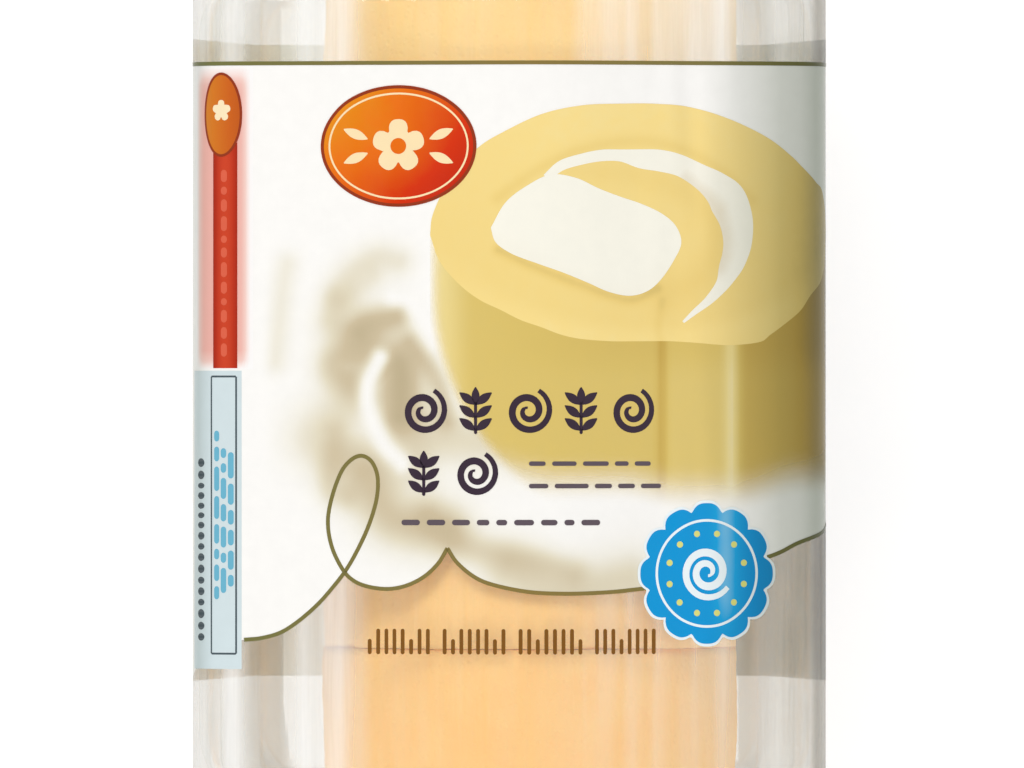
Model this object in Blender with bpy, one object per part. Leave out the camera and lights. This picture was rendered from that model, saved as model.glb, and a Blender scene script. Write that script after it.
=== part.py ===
"""A pre-cut swiss roll in a tray, sealed in clear film with a crimped fin at each end.

The pack lies on its base with the printed front up: X runs across, Y along the roll, Z up.
The film is drawn tight round the crown of the roll, the two rims of the tray and the two
lower corners of the tray, so its cross-section is a belt laid round five rounds.
"""

import math

import bmesh
import bpy
import numpy as np

# Rounds that hold the film out, each a centre (x, z) and a radius
PACK_HALF_WIDTH = 0.0500
PACK_HEIGHT = 0.0720
ROLL_RADIUS = 0.0335
ROLL_OFFSET = 0.0035
FILM_STANDOFF = 0.0010
LEFT_RIM_RADIUS = 0.0100
LEFT_RIM_Z = 0.0525
RIGHT_RIM_RADIUS = 0.0130
RIGHT_RIM_Z = 0.0490
BASE_HALF_WIDTH = 0.0415
BASE_CORNER_RADIUS = 0.0050

# Underside: two flat runners with a shallow channel between, and the back seal folded into it
CHANNEL_HALF_WIDTH = 0.0120
CHANNEL_DEPTH = 0.0009
CHANNEL_SLOPE = 0.0020
FLAP_INNER_X = -0.0015
FLAP_OUTER_X = 0.0085
FLAP_THICKNESS = 0.0005

# Ends: the film folds down from the roll's end to a flat fin at half height
BODY_HALF_LENGTH = 0.0600
FIN_ROOT_Y = 0.0745
FIN_TIP_Y = 0.0840
FIN_Z = 0.0340
FIN_THICKNESS = 0.0008
FIN_HALF_WIDTH = 0.0495
FIN_EDGE_BULGE = 0.0003
FIN_WAVE_HEIGHT = 0.0012
FIN_WAVE_LENGTH = 0.0700
SHOULDER_REACH = 0.0070
ROOT_REACH = 0.0030
ROOT_RISE = 0.06
TOOTH_COUNT = 24
TOOTH_DEPTH = 0.0016

# Tucked sides of each end, and the pleats that fan out from the fin
TUCK_DEPTH = 0.0120
TUCK_PEAK = 0.62
PLEAT_DEPTH = 0.0011
PLEAT_COUNTS = (7, 11)
PLEAT_PHASES = {1: (0.4, 2.1), -1: (1.7, 0.3)}

# How finely each panel and each stretch is divided
FRONT_STEPS = 2 * TOOTH_COUNT
WALL_STEPS = 7
CORNER_STEPS = 3
SIDE_STEPS = WALL_STEPS + CORNER_STEPS
BODY_STEPS = 6
FOLD_STEPS = 11
FIN_STEPS = 3
ARC_STEPS = 24

FILM_COLOUR = (0.93, 0.93, 0.90, 1.0)
FILM_ROUGHNESS = 0.25


def clear_scene():
    """Removes whatever objects the file opens with."""
    for thing in list(bpy.data.objects):
        bpy.data.objects.remove(thing, do_unlink=True)


def make_film_material():
    """Glossy film, off white where the print covers it."""
    material = bpy.data.materials.new("film")
    material.use_nodes = True
    shader = material.node_tree.nodes["Principled BSDF"]
    shader.inputs["Base Color"].default_value = FILM_COLOUR
    shader.inputs["Roughness"].default_value = FILM_ROUGHNESS
    shader.inputs["Metallic"].default_value = 0.0
    return material


def belt_normal(first, second):
    """Angle of the outward normal of the straight run from one round to the next, clockwise."""
    (x_a, z_a, radius_a), (x_b, z_b, radius_b) = first, second
    heading = math.atan2(z_b - z_a, x_b - x_a)
    distance = math.hypot(x_b - x_a, z_b - z_a)
    return heading + math.acos((radius_a - radius_b) / distance)


def arc(round_, start, stop, steps=ARC_STEPS):
    """Points (x, z) on a round, from one normal angle to another."""
    x, z, radius = round_
    angles = np.linspace(start, stop, steps + 1)
    return np.stack([x + radius * np.cos(angles), z + radius * np.sin(angles)], axis=1)


def resample(points, steps):
    """The same path with its points spread evenly along its length."""
    lengths = np.hypot(*np.diff(points, axis=0).T)
    travelled = np.concatenate([[0.0], np.cumsum(lengths)])
    wanted = np.linspace(0.0, travelled[-1], steps + 1)
    return np.stack([np.interp(wanted, travelled, points[:, i]) for i in (0, 1)], axis=1)


def section_panels():
    """Front, right side, base and left side of the section, each a path of points (x, z)."""
    crown_radius = ROLL_RADIUS + FILM_STANDOFF
    base_x = BASE_HALF_WIDTH - BASE_CORNER_RADIUS
    crown = (ROLL_OFFSET, PACK_HEIGHT - crown_radius, crown_radius)
    left_rim = (LEFT_RIM_RADIUS - PACK_HALF_WIDTH, LEFT_RIM_Z, LEFT_RIM_RADIUS)
    right_rim = (PACK_HALF_WIDTH - RIGHT_RIM_RADIUS, RIGHT_RIM_Z, RIGHT_RIM_RADIUS)
    right_base = (base_x, BASE_CORNER_RADIUS, BASE_CORNER_RADIUS)
    left_base = (-base_x, BASE_CORNER_RADIUS, BASE_CORNER_RADIUS)
    left_slope = belt_normal(left_rim, crown)
    right_slope = belt_normal(crown, right_rim)
    right_wall = belt_normal(right_rim, right_base)
    left_wall = belt_normal(left_base, left_rim) - 2.0 * math.pi
    down = -0.5 * math.pi
    front = np.concatenate([
        arc(left_rim, math.pi, left_slope),
        arc(crown, left_slope, right_slope),
        arc(right_rim, right_slope, 0.0),
    ])
    right_corner = arc(right_base, right_wall, down, CORNER_STEPS)
    right = np.concatenate([arc(right_rim, 0.0, right_wall), right_corner[:1]])
    base = np.array([[base_x, 0.0], [-base_x, 0.0]])
    left_corner = arc(left_base, down, left_wall, CORNER_STEPS)
    left = np.concatenate([left_corner[-1:], arc(left_rim, left_wall, -math.pi)])
    return (
        resample(front, FRONT_STEPS),
        np.concatenate([resample(right, WALL_STEPS), right_corner[1:]]),
        resample(base, FRONT_STEPS),
        np.concatenate([left_corner[:-1], resample(left, WALL_STEPS)]),
    )


def underside_height(x):
    """Height of the base at x: flat runners, a channel and the back seal folded flat in it."""
    ramp = np.clip((CHANNEL_HALF_WIDTH - np.abs(x)) / CHANNEL_SLOPE, 0.0, 1.0)
    flap = (x > FLAP_INNER_X) & (x < FLAP_OUTER_X)
    return CHANNEL_DEPTH * ramp - FLAP_THICKNESS * flap


def section_ring():
    """One closed ring of the section and, point by point, where it goes in the flat fin.

    Returns x and z of the ring, x in the fin, the fin's face (1 upper, -1 lower), and how far
    the point is tucked in where the sides fold (1 at half height of a side, 0 on other panels).
    """
    front, right, base, left = section_panels()
    base = base.copy()
    base[:, 1] += underside_height(base[:, 0])
    across = np.linspace(-1.0, 1.0, FRONT_STEPS + 1)
    down_side = np.linspace(0.0, 1.0, SIDE_STEPS + 1)
    bulge = FIN_HALF_WIDTH + FIN_EDGE_BULGE * np.sin(math.pi * down_side)
    fold = 1.0 - np.abs(2.0 * down_side - 1.0)
    nothing = np.zeros(FRONT_STEPS + 1)
    parts = (
        (front, FIN_HALF_WIDTH * across, nothing + 1.0, nothing),
        (right, bulge, 1.0 - 2.0 * down_side, fold),
        (base, -FIN_HALF_WIDTH * across, nothing - 1.0, nothing),
        (left, -bulge, 2.0 * down_side - 1.0, fold),
    )
    points = np.concatenate([part[0][:-1] for part in parts])
    fin_x, face, tuck = (np.concatenate([part[i][:-1] for part in parts]) for i in (1, 2, 3))
    return points[:, 0], points[:, 1], fin_x, face, tuck


def fold_curve(share):
    """Distance along Y and share of the height left, from the roll's end to the fin's root.

    A cubic Bezier: it leaves the body level, falls steeply and runs out level into the fin.
    """
    ends_y = (
        BODY_HALF_LENGTH,
        BODY_HALF_LENGTH + SHOULDER_REACH,
        FIN_ROOT_Y - ROOT_REACH,
        FIN_ROOT_Y,
    )
    ends_height = (1.0, 1.0, ROOT_RISE, 0.0)
    rest = 1.0 - share
    weights = (rest**3, 3.0 * rest**2 * share, 3.0 * rest * share**2, share**3)
    along = sum(weight * end for weight, end in zip(weights, ends_y))
    height = sum(weight * end for weight, end in zip(weights, ends_height))
    return along, height


def pleats(fin_x, face, end):
    """Depth of the fan of pleats in a fold: two waves across it, unlike on its two faces."""
    turns = math.pi * fin_x / FIN_HALF_WIDTH
    first, second = (
        np.cos(0.5 * count * turns + phase + face)
        for count, phase in zip(PLEAT_COUNTS, PLEAT_PHASES[end])
    )
    return PLEAT_DEPTH * (0.6 * first + 0.4 * second)


def fold_ring(ring, share, end):
    """The ring at a share of the way down the fold at one end, 0 on the body and 1 at the fin."""
    x, z, fin_x, face, tuck = ring
    along, height = fold_curve(share)
    swell = math.sin(math.pi * share)
    tucked = TUCK_DEPTH * math.sin(math.pi * share ** (math.log(0.5) / math.log(TUCK_PEAK)))
    ring_x = fin_x + (x - fin_x) * height - np.sign(fin_x) * tucked * tuck
    ring_y = end * (along + swell * pleats(fin_x, face, end))
    ring_z = fin_height(ring_x, end) + 0.5 * FIN_THICKNESS * face
    return np.stack([ring_x, ring_y, ring_z + (z - ring_z) * height], axis=1)


def fin_height(x, end):
    """Height of the fin's mid plane at x: a long shallow wave."""
    return FIN_Z + FIN_WAVE_HEIGHT * np.sin(2.0 * math.pi * x / FIN_WAVE_LENGTH + end)


def fin_ring(ring, share, end):
    """The ring at a share of the way out along the fin, with the cut edge zigzag at 1."""
    _, _, fin_x, face, tuck = ring
    flat = np.abs(face) == 1.0
    column = np.rint((fin_x / FIN_HALF_WIDTH + 1.0) * 0.5 * FRONT_STEPS).astype(int)
    notch = np.where(flat & (column % 2 == 1), TOOTH_DEPTH, 0.0)
    along = FIN_ROOT_Y + (FIN_TIP_Y - FIN_ROOT_Y) * share - notch * (share == 1.0)
    ring_z = fin_height(fin_x, end) + 0.5 * FIN_THICKNESS * face
    return np.stack([fin_x, end * along, ring_z], axis=1)


def pack_rings():
    """Every ring of the pack, from one cut edge to the other."""
    ring = section_ring()
    x, z = ring[0], ring[1]
    fin_shares = np.linspace(0.0, 1.0, FIN_STEPS + 1)[1:]
    fold_shares = np.linspace(0.0, 1.0, FOLD_STEPS + 1)[1:]
    body = [
        np.stack([x, np.full_like(x, along), z], axis=1)
        for along in np.linspace(-BODY_HALF_LENGTH, BODY_HALF_LENGTH, BODY_STEPS + 1)
    ]
    front_end, back_end = (
        [fold_ring(ring, share, end) for share in fold_shares]
        + [fin_ring(ring, share, end) for share in fin_shares]
        for end in (-1, 1)
    )
    return front_end[::-1] + body + back_end


def close_cut_edge(mesh, ring, outward):
    """Closes the cut edge of a fin: a strip across it and a small face at each corner."""
    upper = ring[: FRONT_STEPS + 1]
    right = ring[FRONT_STEPS : FRONT_STEPS + SIDE_STEPS + 1]
    lower = ring[FRONT_STEPS + SIDE_STEPS : 2 * FRONT_STEPS + SIDE_STEPS + 1][::-1]
    left = ring[2 * FRONT_STEPS + SIDE_STEPS :] + ring[:1]
    faces = [
        (upper[i], upper[i + 1], lower[i + 1], lower[i]) for i in range(FRONT_STEPS)
    ]
    faces += [tuple(right), tuple(left)]
    for corners in faces:
        mesh.faces.new(corners if outward else corners[::-1])


def make_pack(material):
    """Skins the rings into one closed solid."""
    mesh = bmesh.new()
    rings = [[mesh.verts.new(point) for point in ring] for ring in pack_rings()]
    for near, far in zip(rings, rings[1:]):
        for i, corner in enumerate(near):
            after = (i + 1) % len(near)
            mesh.faces.new((corner, near[after], far[after], far[i]))
    close_cut_edge(mesh, rings[0], outward=False)
    close_cut_edge(mesh, rings[-1], outward=True)
    bmesh.ops.recalc_face_normals(mesh, faces=mesh.faces)
    data = bpy.data.meshes.new("film_pack")
    mesh.to_mesh(data)
    mesh.free()
    data.shade_smooth()
    data.set_sharp_from_angle(angle=math.radians(35.0))
    data.materials.append(material)
    pack = bpy.data.objects.new("film_pack", data)
    bpy.context.scene.collection.objects.link(pack)
    return pack


clear_scene()
make_pack(make_film_material())
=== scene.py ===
# %% [markdown]
# # A pre-cut swiss roll in printed flow-wrap film
# The real object is a roll of sponge and cream, cut into six slices, that lies in a clear formed
# tray. A tube of film goes round it, is sealed along the back and crimped into a fin at each end.
# We build it from the inside out: slices, tray, film, and then the ink on the film, coat by coat.
# Every shape is worked out with numpy as a surface of two parameters, because film, tray and ink
# all follow one formula, and a formula keeps them a hair's breadth apart instead of in each other.

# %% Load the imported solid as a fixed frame
import math

import bmesh
import bpy
import numpy as np
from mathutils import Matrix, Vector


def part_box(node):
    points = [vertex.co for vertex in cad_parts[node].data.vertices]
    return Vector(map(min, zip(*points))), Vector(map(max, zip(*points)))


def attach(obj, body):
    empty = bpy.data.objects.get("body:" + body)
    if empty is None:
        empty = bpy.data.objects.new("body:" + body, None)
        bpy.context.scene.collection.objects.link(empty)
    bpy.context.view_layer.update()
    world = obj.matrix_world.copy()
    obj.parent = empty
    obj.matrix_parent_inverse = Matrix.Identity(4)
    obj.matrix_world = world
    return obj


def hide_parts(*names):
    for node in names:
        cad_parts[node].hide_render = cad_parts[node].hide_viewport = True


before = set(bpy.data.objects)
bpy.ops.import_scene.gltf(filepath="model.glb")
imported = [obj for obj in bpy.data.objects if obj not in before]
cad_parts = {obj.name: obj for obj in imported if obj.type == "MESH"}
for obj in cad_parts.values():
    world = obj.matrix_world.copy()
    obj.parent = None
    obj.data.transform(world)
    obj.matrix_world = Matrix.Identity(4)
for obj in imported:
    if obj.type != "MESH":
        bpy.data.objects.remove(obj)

MM = 0.001
TURN = 2.0 * math.pi
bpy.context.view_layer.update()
pack_low, pack_high = (np.array(corner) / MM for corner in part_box("film_pack"))
print("the solid measures", np.round(pack_high - pack_low, 1), "mm")

# %% [markdown]
# ## Grids into meshes
# A surface of two parameters is a grid of points, so one helper makes every mesh. It joins each
# point to its neighbours with quads, and can close the grid on itself along either direction.
# Where a whole row of the grid falls on one point, such as a pole, the doubles are welded.

# %% Turn a grid of points into a piece of the pack
CLOSED_RINGS = (False, True)


def grid_faces(rows, columns, wrap_rows=False, wrap_columns=False):
    """Corner numbers of the quads between neighbouring points of a grid, closed on itself where it wraps."""
    row = np.arange(rows if wrap_rows else rows - 1)[:, None]
    column = np.arange(columns if wrap_columns else columns - 1)[None, :]
    next_row, next_column = (row + 1) % rows, (column + 1) % columns
    corners = (
        row * columns + column,
        row * columns + next_column,
        next_row * columns + next_column,
        next_row * columns + column,
    )
    return np.stack(corners, axis=-1).reshape(-1, 4)


def weld(mesh, distance=1e-6):
    """Merges points that fall together, drops what that flattens, and turns all faces outward."""
    work = bmesh.new()
    work.from_mesh(mesh)
    bmesh.ops.remove_doubles(work, verts=work.verts, dist=distance)
    bmesh.ops.dissolve_degenerate(work, edges=work.edges, dist=distance)
    bmesh.ops.recalc_face_normals(work, faces=work.faces)
    work.to_mesh(mesh)
    work.free()


def make_piece(name, grids, material, wrap=(False, False), values=None, welded=False):
    """A piece of the pack from one or more grids of points in millimetres, with named values per point."""
    grids = grids if isinstance(grids, list) else [grids]
    sizes = [grid.shape[0] * grid.shape[1] for grid in grids]
    starts = np.concatenate([[0], np.cumsum(sizes)[:-1]])
    points = np.concatenate([grid.reshape(-1, 3) for grid in grids]) * MM
    faces = np.concatenate([
        grid_faces(*grid.shape[:2], *wrap) + start for grid, start in zip(grids, starts)
    ])
    mesh = bpy.data.meshes.new(name)
    mesh.from_pydata(points.tolist(), [], faces.tolist())
    for key, numbers in (values or {}).items():
        layer = mesh.attributes.new(key, "FLOAT", "POINT")
        flat = np.concatenate([np.ravel(part) for part in numbers])
        layer.data.foreach_set("value", flat.astype(np.float32))
    if welded:
        weld(mesh)
    mesh.shade_smooth()
    mesh.materials.append(material)
    piece = bpy.data.objects.new(name, mesh)
    bpy.context.scene.collection.objects.link(piece)
    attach(piece, "root")
    return piece


# %% [markdown]
# ## Smooth randomness
# Cake is uneven at every scale. A sum of cosines that run in seeded random directions gives a
# soft field of lumps of about one size, at any point in space, with no texture to unwrap.

# %% Lumps of a chosen size
def lumps(points, size, seed, waves=28):
    """Sum of cosines of (2 pi / size) times the distance along random directions, near -1 to 1."""
    chance = np.random.default_rng(seed)
    direction = chance.normal(size=(3, waves))
    direction /= np.linalg.norm(direction, axis=0)
    pitch = TURN / size * chance.uniform(0.7, 1.3, waves)
    phase = chance.uniform(0.0, TURN, waves)
    return np.cos(points @ (direction * pitch) + phase).sum(axis=-1) / math.sqrt(waves)


def ease(value, start=0.0, stop=1.0):
    """Smooth step: 0 below start, 1 above stop, with level ends (3t squared less 2t cubed)."""
    t = np.clip((value - start) / (stop - start), 0.0, 1.0)
    return t * t * (3.0 - 2.0 * t)


# %% [markdown]
# ## The film as a formula
# Film drawn tight round a roll in its tray touches only the crown of the roll, the two rims of
# the tray and its two lower corners, and is straight in between. That is a belt round five
# rounds. We could draw the section by hand, but a belt follows from the rounds alone.
# Position round the belt is called s, in millimetres from the left rim, clockwise from the front.

# %% Lay the belt round its five rounds
HALF_WIDTH = 0.5 * (pack_high[0] - pack_low[0])
CROWN_RADIUS = 34.5
BASE_HALF_WIDTH = 41.5
BASE_ROUND = 5.0
# Each round is the x and z of its centre, and its radius.
LEFT_ROUND = (10.0 - HALF_WIDTH, 52.5, 10.0)
RIGHT_ROUND = (HALF_WIDTH - 13.0, 49.0, 13.0)
CROWN_ROUND = (3.5, pack_high[2] - CROWN_RADIUS, CROWN_RADIUS)
RIGHT_FOOT = (BASE_HALF_WIDTH - BASE_ROUND, BASE_ROUND, BASE_ROUND)
LEFT_FOOT = (BASE_ROUND - BASE_HALF_WIDTH, BASE_ROUND, BASE_ROUND)


def belt_normal(first, second):
    """Angle of the outward normal on the straight run between two rounds, going clockwise.

    It is the heading from centre to centre, plus the arc cosine of the difference in radius
    over the distance.
    """
    (x_a, z_a, radius_a), (x_b, z_b, radius_b) = first, second
    heading = math.atan2(z_b - z_a, x_b - x_a)
    return heading + math.acos((radius_a - radius_b) / math.hypot(x_b - x_a, z_b - z_a))


def lay_belt(steps=60):
    """Table of s, x, z and the normal (nx, nz) round the belt, and s where each arc begins and ends."""
    rounds = (LEFT_ROUND, CROWN_ROUND, RIGHT_ROUND, RIGHT_FOOT, LEFT_FOOT, LEFT_ROUND)
    turns = [math.pi] + [belt_normal(a, b) for a, b in zip(rounds, rounds[1:])] + [math.pi]
    rows = []
    for (x, z, radius), start, stop in zip(rounds, turns, turns[1:]):
        stop -= TURN * math.ceil(max(0.0, stop - start) / TURN)
        angle = np.linspace(start, stop, steps)
        normal = np.stack([np.cos(angle), np.sin(angle)], axis=1)
        rows.append(np.concatenate([(x, z) + radius * normal, normal], axis=1))
    rows = np.concatenate(rows)
    s = np.concatenate([[0.0], np.cumsum(np.hypot(*np.diff(rows[:, :2], axis=0).T))])
    ends = np.arange(len(rounds)) * steps
    return np.column_stack([s, rows]), np.column_stack([s[ends], s[ends + steps - 1]])


BELT, ARCS = lay_belt()
GIRTH = BELT[-1, 0]
CROWN_S = float(BELT[np.argmax(BELT[:, 2]), 0])
RIGHT_CREASE = float(BELT[np.argmax(BELT[:, 1]), 0])
BASE_START, BASE_END = ARCS[3, 1], ARCS[4, 0]
SPANS = tuple((ARCS[number, 1], ARCS[number + 1, 0]) for number in (0, 1, 2, 4))
print("girth", round(GIRTH, 1), "mm, crown at s", round(CROWN_S, 1))
print("free spans", np.round(SPANS, 1).tolist())

# %% [markdown]
# ## Ripples, the channel and the back seal
# Tight film still carries long shallow ripples where nothing backs it, strongest near the ends
# that gather it. They are what makes a clear pack sparkle in streaks. Under the base the film
# dips into a channel of the tray, and the seal of the tube lies folded flat in that channel.

# %% Relief of the film, along its normal
CHANNEL_HALF_WIDTH = 12.0
CHANNEL_DEPTH = 0.9
CHANNEL_SLOPE = 2.0
FLAP_X = (-1.5, 8.5)
FLAP_THICKNESS = 0.5
FLAP_EDGE = 0.2
BODY_HALF = 60.0
# Each ripple is its depth, its length round the pack, its phase and its drift along the pack.
RIPPLES = ((0.10, 5.3, 0.4, 9.0), (0.16, 8.7, 2.0, -14.0), (0.22, 14.9, 4.4, 20.0))


def ripple(s, y):
    """Long ripples on the free spans: cosines of s that drift slowly with y, in a squared sine window.

    They grow towards the ends of the pack by the cube of y.
    """
    window = sum(
        np.sin(math.pi * np.clip((s - start) / (stop - start), 0.0, 1.0)) ** 2 for start, stop in SPANS
    )
    waves = sum(
        depth * np.cos(TURN * (s / length + phase) + y / drift + 0.8 * np.sin(y / 31.0 + phase))
        for depth, length, phase, drift in RIPPLES
    )
    return waves * window * (0.55 + 0.9 * (np.clip(np.abs(y), 0.0, BODY_HALF) / BODY_HALF) ** 3)


def relief(s, x, y):
    """Ripples, less the channel under the base, plus the folded seal lying in it."""
    under = (s >= BASE_START) & (s <= BASE_END)
    channel = CHANNEL_DEPTH * ease(CHANNEL_HALF_WIDTH - np.abs(x), 0.0, CHANNEL_SLOPE)
    left, right = FLAP_X
    flap = FLAP_THICKNESS * ease(x, left - FLAP_EDGE, left + FLAP_EDGE)
    flap = flap * ease(-x, -right - FLAP_EDGE, FLAP_EDGE - right)
    return ripple(s, y) + np.where(under, flap - channel, 0.0)


def on_film(s, y, lift=0.0):
    """Points on the drawn film at s round the pack and y along it, lifted off it by lift."""
    s, y = np.broadcast_arrays(np.asarray(s, float) % GIRTH, y)
    x, z, normal_x, normal_z = (np.interp(s, BELT[:, 0], BELT[:, k]) for k in range(1, 5))
    raised = lift + relief(s, x, y)
    return np.stack([x + normal_x * raised, y, z + normal_z * raised], axis=-1)


# %% [markdown]
# ## The folded ends
# At each end the tube is pressed flat into a fin at half height. The front and the base fold
# towards each other, and the two sides tuck inward like the ends of a parcel. We carry each ring
# of the belt down a Bezier curve to the flat fin, and pull the middle of each side in on the way.

# %% Rings of film from the body down to the cut edge
FIN_ROOT, FIN_TIP = 74.5, pack_high[1]
FIN_Z, FIN_HALF_WIDTH, FIN_BULGE = 34.0, 49.5, 0.3
FIN_THICKNESS = 0.5
FIN_WAVE = (1.2, 70.0)
FOLD_ALONG = (BODY_HALF, 67.0, 71.5, FIN_ROOT)
FOLD_HEIGHT = (1.0, 1.0, 0.06, 0.0)
TUCK_DEPTH, TUCK_PEAK = 12.0, 0.62
TEETH, TOOTH_DEPTH = 24, 1.6
CRIMPS, CRIMP_HEIGHT = 48, 0.16
# Each fan of pleats is its depth and the two counts that beat against each other.
PLEATS = ((1.1, 7, 11), (0.35, 23, 31))
PLEAT_PHASES = {1: (0.4, 2.1), -1: (1.7, 0.3)}


def bezier(share, ends):
    """Cubic Bezier through four values."""
    rest = 1.0 - share
    a, b, c, d = ends
    return a * rest**3 + 3.0 * b * rest**2 * share + 3.0 * c * rest * share**2 + d * share**3


def into_fin(s):
    """Where a point of the belt goes in the flat fin: x, face (1 upper, -1 lower), share of the tuck."""
    knots = (0.0, RIGHT_CREASE, BASE_START, BASE_END, GIRTH)
    fin_x = np.interp(s, knots, np.array([-1.0, 1.0, 1.0, -1.0, -1.0]) * FIN_HALF_WIDTH)
    face = np.interp(s, knots, (1.0, 1.0, -1.0, -1.0, 1.0))
    side = 1.0 - np.abs(face)
    return fin_x + np.sign(fin_x) * FIN_BULGE * np.sin(0.5 * math.pi * side), face, side


def fin_height(x, end):
    """Height of the fin's mid plane: one long wave across the pack."""
    return FIN_Z + FIN_WAVE[0] * np.sin(TURN * x / FIN_WAVE[1] + end)


def pleats(fin_x, face, end):
    """Cosines across the fan of pleats, unlike on its two faces: broad ones, then fine ones."""
    turns = 0.5 * math.pi * fin_x / FIN_HALF_WIDTH
    phases = PLEAT_PHASES[end]
    return sum(
        depth * (
            0.6 * np.cos(first * turns + phases[0] + face)
            + 0.4 * np.cos(second * turns + phases[1] + face)
        )
        for depth, first, second in PLEATS
    )


def fold_rings(s, shares, end):
    """Rings of the folding film, one for each share of the way down to the fin's root."""
    start = on_film(s, end * BODY_HALF)
    fin_x, face, side = into_fin(s)
    share = shares[:, None]
    height = bezier(share, FOLD_HEIGHT)
    tucked = TUCK_DEPTH * np.sin(math.pi * share ** (math.log(0.5) / math.log(TUCK_PEAK)))
    x = fin_x + (start[:, 0] - fin_x) * height - np.sign(fin_x) * tucked * side
    flat_z = fin_height(x, end) + 0.5 * FIN_THICKNESS * face
    y = end * (bezier(share, FOLD_ALONG) + np.sin(math.pi * share) * pleats(fin_x, face, end))
    return np.stack([x, y, flat_z + (start[:, 2] - flat_z) * height], axis=-1)


def fin_rings(s, shares, end):
    """Rings of the fin: crimped along the pack, with a zigzag cut, and shut at the very edge."""
    fin_x, face, side = into_fin(s)
    share = shares[:, None]
    across = (fin_x / FIN_HALF_WIDTH + 1.0) * 0.5
    notch = TOOTH_DEPTH * (1.0 - np.abs(2.0 * ((across * TEETH) % 1.0) - 1.0)) * (side == 0.0)
    crimp = CRIMP_HEIGHT * np.sin(TURN * CRIMPS * across) * ease(share, 0.0, 0.15)
    shut = np.where(np.arange(len(shares)) == len(shares) - 1, 0.0, 1.0)[:, None]
    y = end * (FIN_ROOT + share * (FIN_TIP - FIN_ROOT - notch))
    z = fin_height(fin_x, end) + crimp + 0.5 * FIN_THICKNESS * face * shut
    return np.stack([np.broadcast_to(fin_x, y.shape), y, z], axis=-1)


FRONT_COLUMNS = 6 * CRIMPS
SIDE_COLUMNS = 120
BODY_ROWS, FOLD_ROWS, FIN_ROWS = 40, 26, 8


def film_columns():
    """s of each column: even on each panel, and as many on the base as on the front."""
    knots = (0.0, RIGHT_CREASE, BASE_START, BASE_END, GIRTH)
    counts = (FRONT_COLUMNS, SIDE_COLUMNS, FRONT_COLUMNS, SIDE_COLUMNS)
    return np.concatenate([
        np.linspace(start, stop, count, endpoint=False)
        for start, stop, count in zip(knots, knots[1:], counts)
    ])


# %% [markdown]
# ## Milky streaks and painted highlights, tight bends and painted shade
# Drawn film turns milky in creases along the pull, and where it bends tightly over the tray it
# throws light aside and looks darker. The streaks also carry painted highlights where soft lights
# would glint on the film, and the darkening down the right wall is painted shade. Painting either
# by hand would need an unwrapped image, so each is a number kept on every point of the film,
# which the film's material reads.

# %% Haze with painted highlights, and bend with painted shade, of each point
# The streaks are partly milky creases and partly painted highlights where soft lights would glint.
# Each streak is its place across the front, its width, and its strength at the low and high end.
HAZE_AND_HIGHLIGHT_STREAKS = (
    (-48.4, 2.2, 0.45, 0.42), (-36.8, 1.7, 0.30, 0.30), (-32.6, 2.2, 0.42, 0.45), (-29.8, 1.6, 0.28, 0.30),
    (-27.6, 1.2, 0.10, 0.12), (11.0, 3.5, 0.04, 0.22), (14.0, 6.0, 0.02, 0.14), (15.8, 1.1, 0.10, 0.15),
    (20.2, 0.9, 0.08, 0.10), (25.8, 1.3, 0.05, 0.12), (27.0, 8.0, 0.08, 0.42), (31.0, 1.6, 0.10, 0.20),
    (39.0, 2.4, 0.12, 0.00), (42.0, 3.6, 0.04, 0.20), (46.5, 2.5, 0.08, 0.10),
)


def haze_and_highlight(s, y):
    """Milky creases and painted highlights on the film: bells across the front, weaker in the folds.

    A bell is e to the minus (distance over width) squared, and its strength goes evenly from the
    low end to the high end.
    """
    u = (s - CROWN_S + 0.5 * GIRTH) % GIRTH - 0.5 * GIRTH
    along = np.clip(0.5 + 0.5 * y / BODY_HALF, 0.0, 1.0)
    streaks = sum(
        (low + (high - low) * along) * np.exp(-(((u - place) / width) ** 2))
        for place, width, low, high in HAZE_AND_HIGHLIGHT_STREAKS
    )
    return streaks * (1.0 - 0.8 * ease(np.abs(y), BODY_HALF, BODY_HALF + 8.0))


# The two bells over the feet are tight bends; the two down the right wall are painted shade.
# Each bend is its x, its width, its depth, and the heights that it runs between.
BENDS_AND_SHADE = (
    (-38.2, 3.0, 1.0, 0.0, 12.0),
    (38.2, 3.0, 1.0, 0.0, 12.0),
    (46.0, 3.5, 0.24, 12.0, 60.0),
    (49.2, 1.4, 0.85, 12.0, 60.0),
)


def bend_and_shade(points):
    """How much light the film loses, as flat-topped bells across x: tight bends over the feet, and
    painted shade down the right wall, on the side away from the light.

    Each is a depth times e to the minus (distance over width) to the 4th, between two heights, and
    the one at the left weakens towards +Y.
    """
    x, y, z = points[..., 0], points[..., 1], points[..., 2]
    turned = sum(
        depth * np.exp(-(((x - place) / width) ** 4)) * ((z >= low) & (z < high))
        for place, width, depth, low, high in BENDS_AND_SHADE
    )
    return turned * (1.0 - 0.55 * (x < 0.0) * np.clip(0.5 + 0.5 * y / BODY_HALF, 0.0, 1.0))


# %% The whole film as one grid
def film_grid():
    """All rings of the film from one cut edge to the other."""
    s = film_columns()
    y = np.linspace(-BODY_HALF, BODY_HALF, BODY_ROWS + 1)[:, None]
    fold_shares = np.linspace(0.0, 1.0, FOLD_ROWS + 1)[1:]
    fin_shares = np.append(np.linspace(0.0, 1.0, FIN_ROWS + 1)[1:], 1.0)
    near, far = (
        np.concatenate([fold_rings(s, fold_shares, end), fin_rings(s, fin_shares, end)])
        for end in (-1, 1)
    )
    return np.concatenate([near[::-1], on_film(s, y), far])


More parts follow.
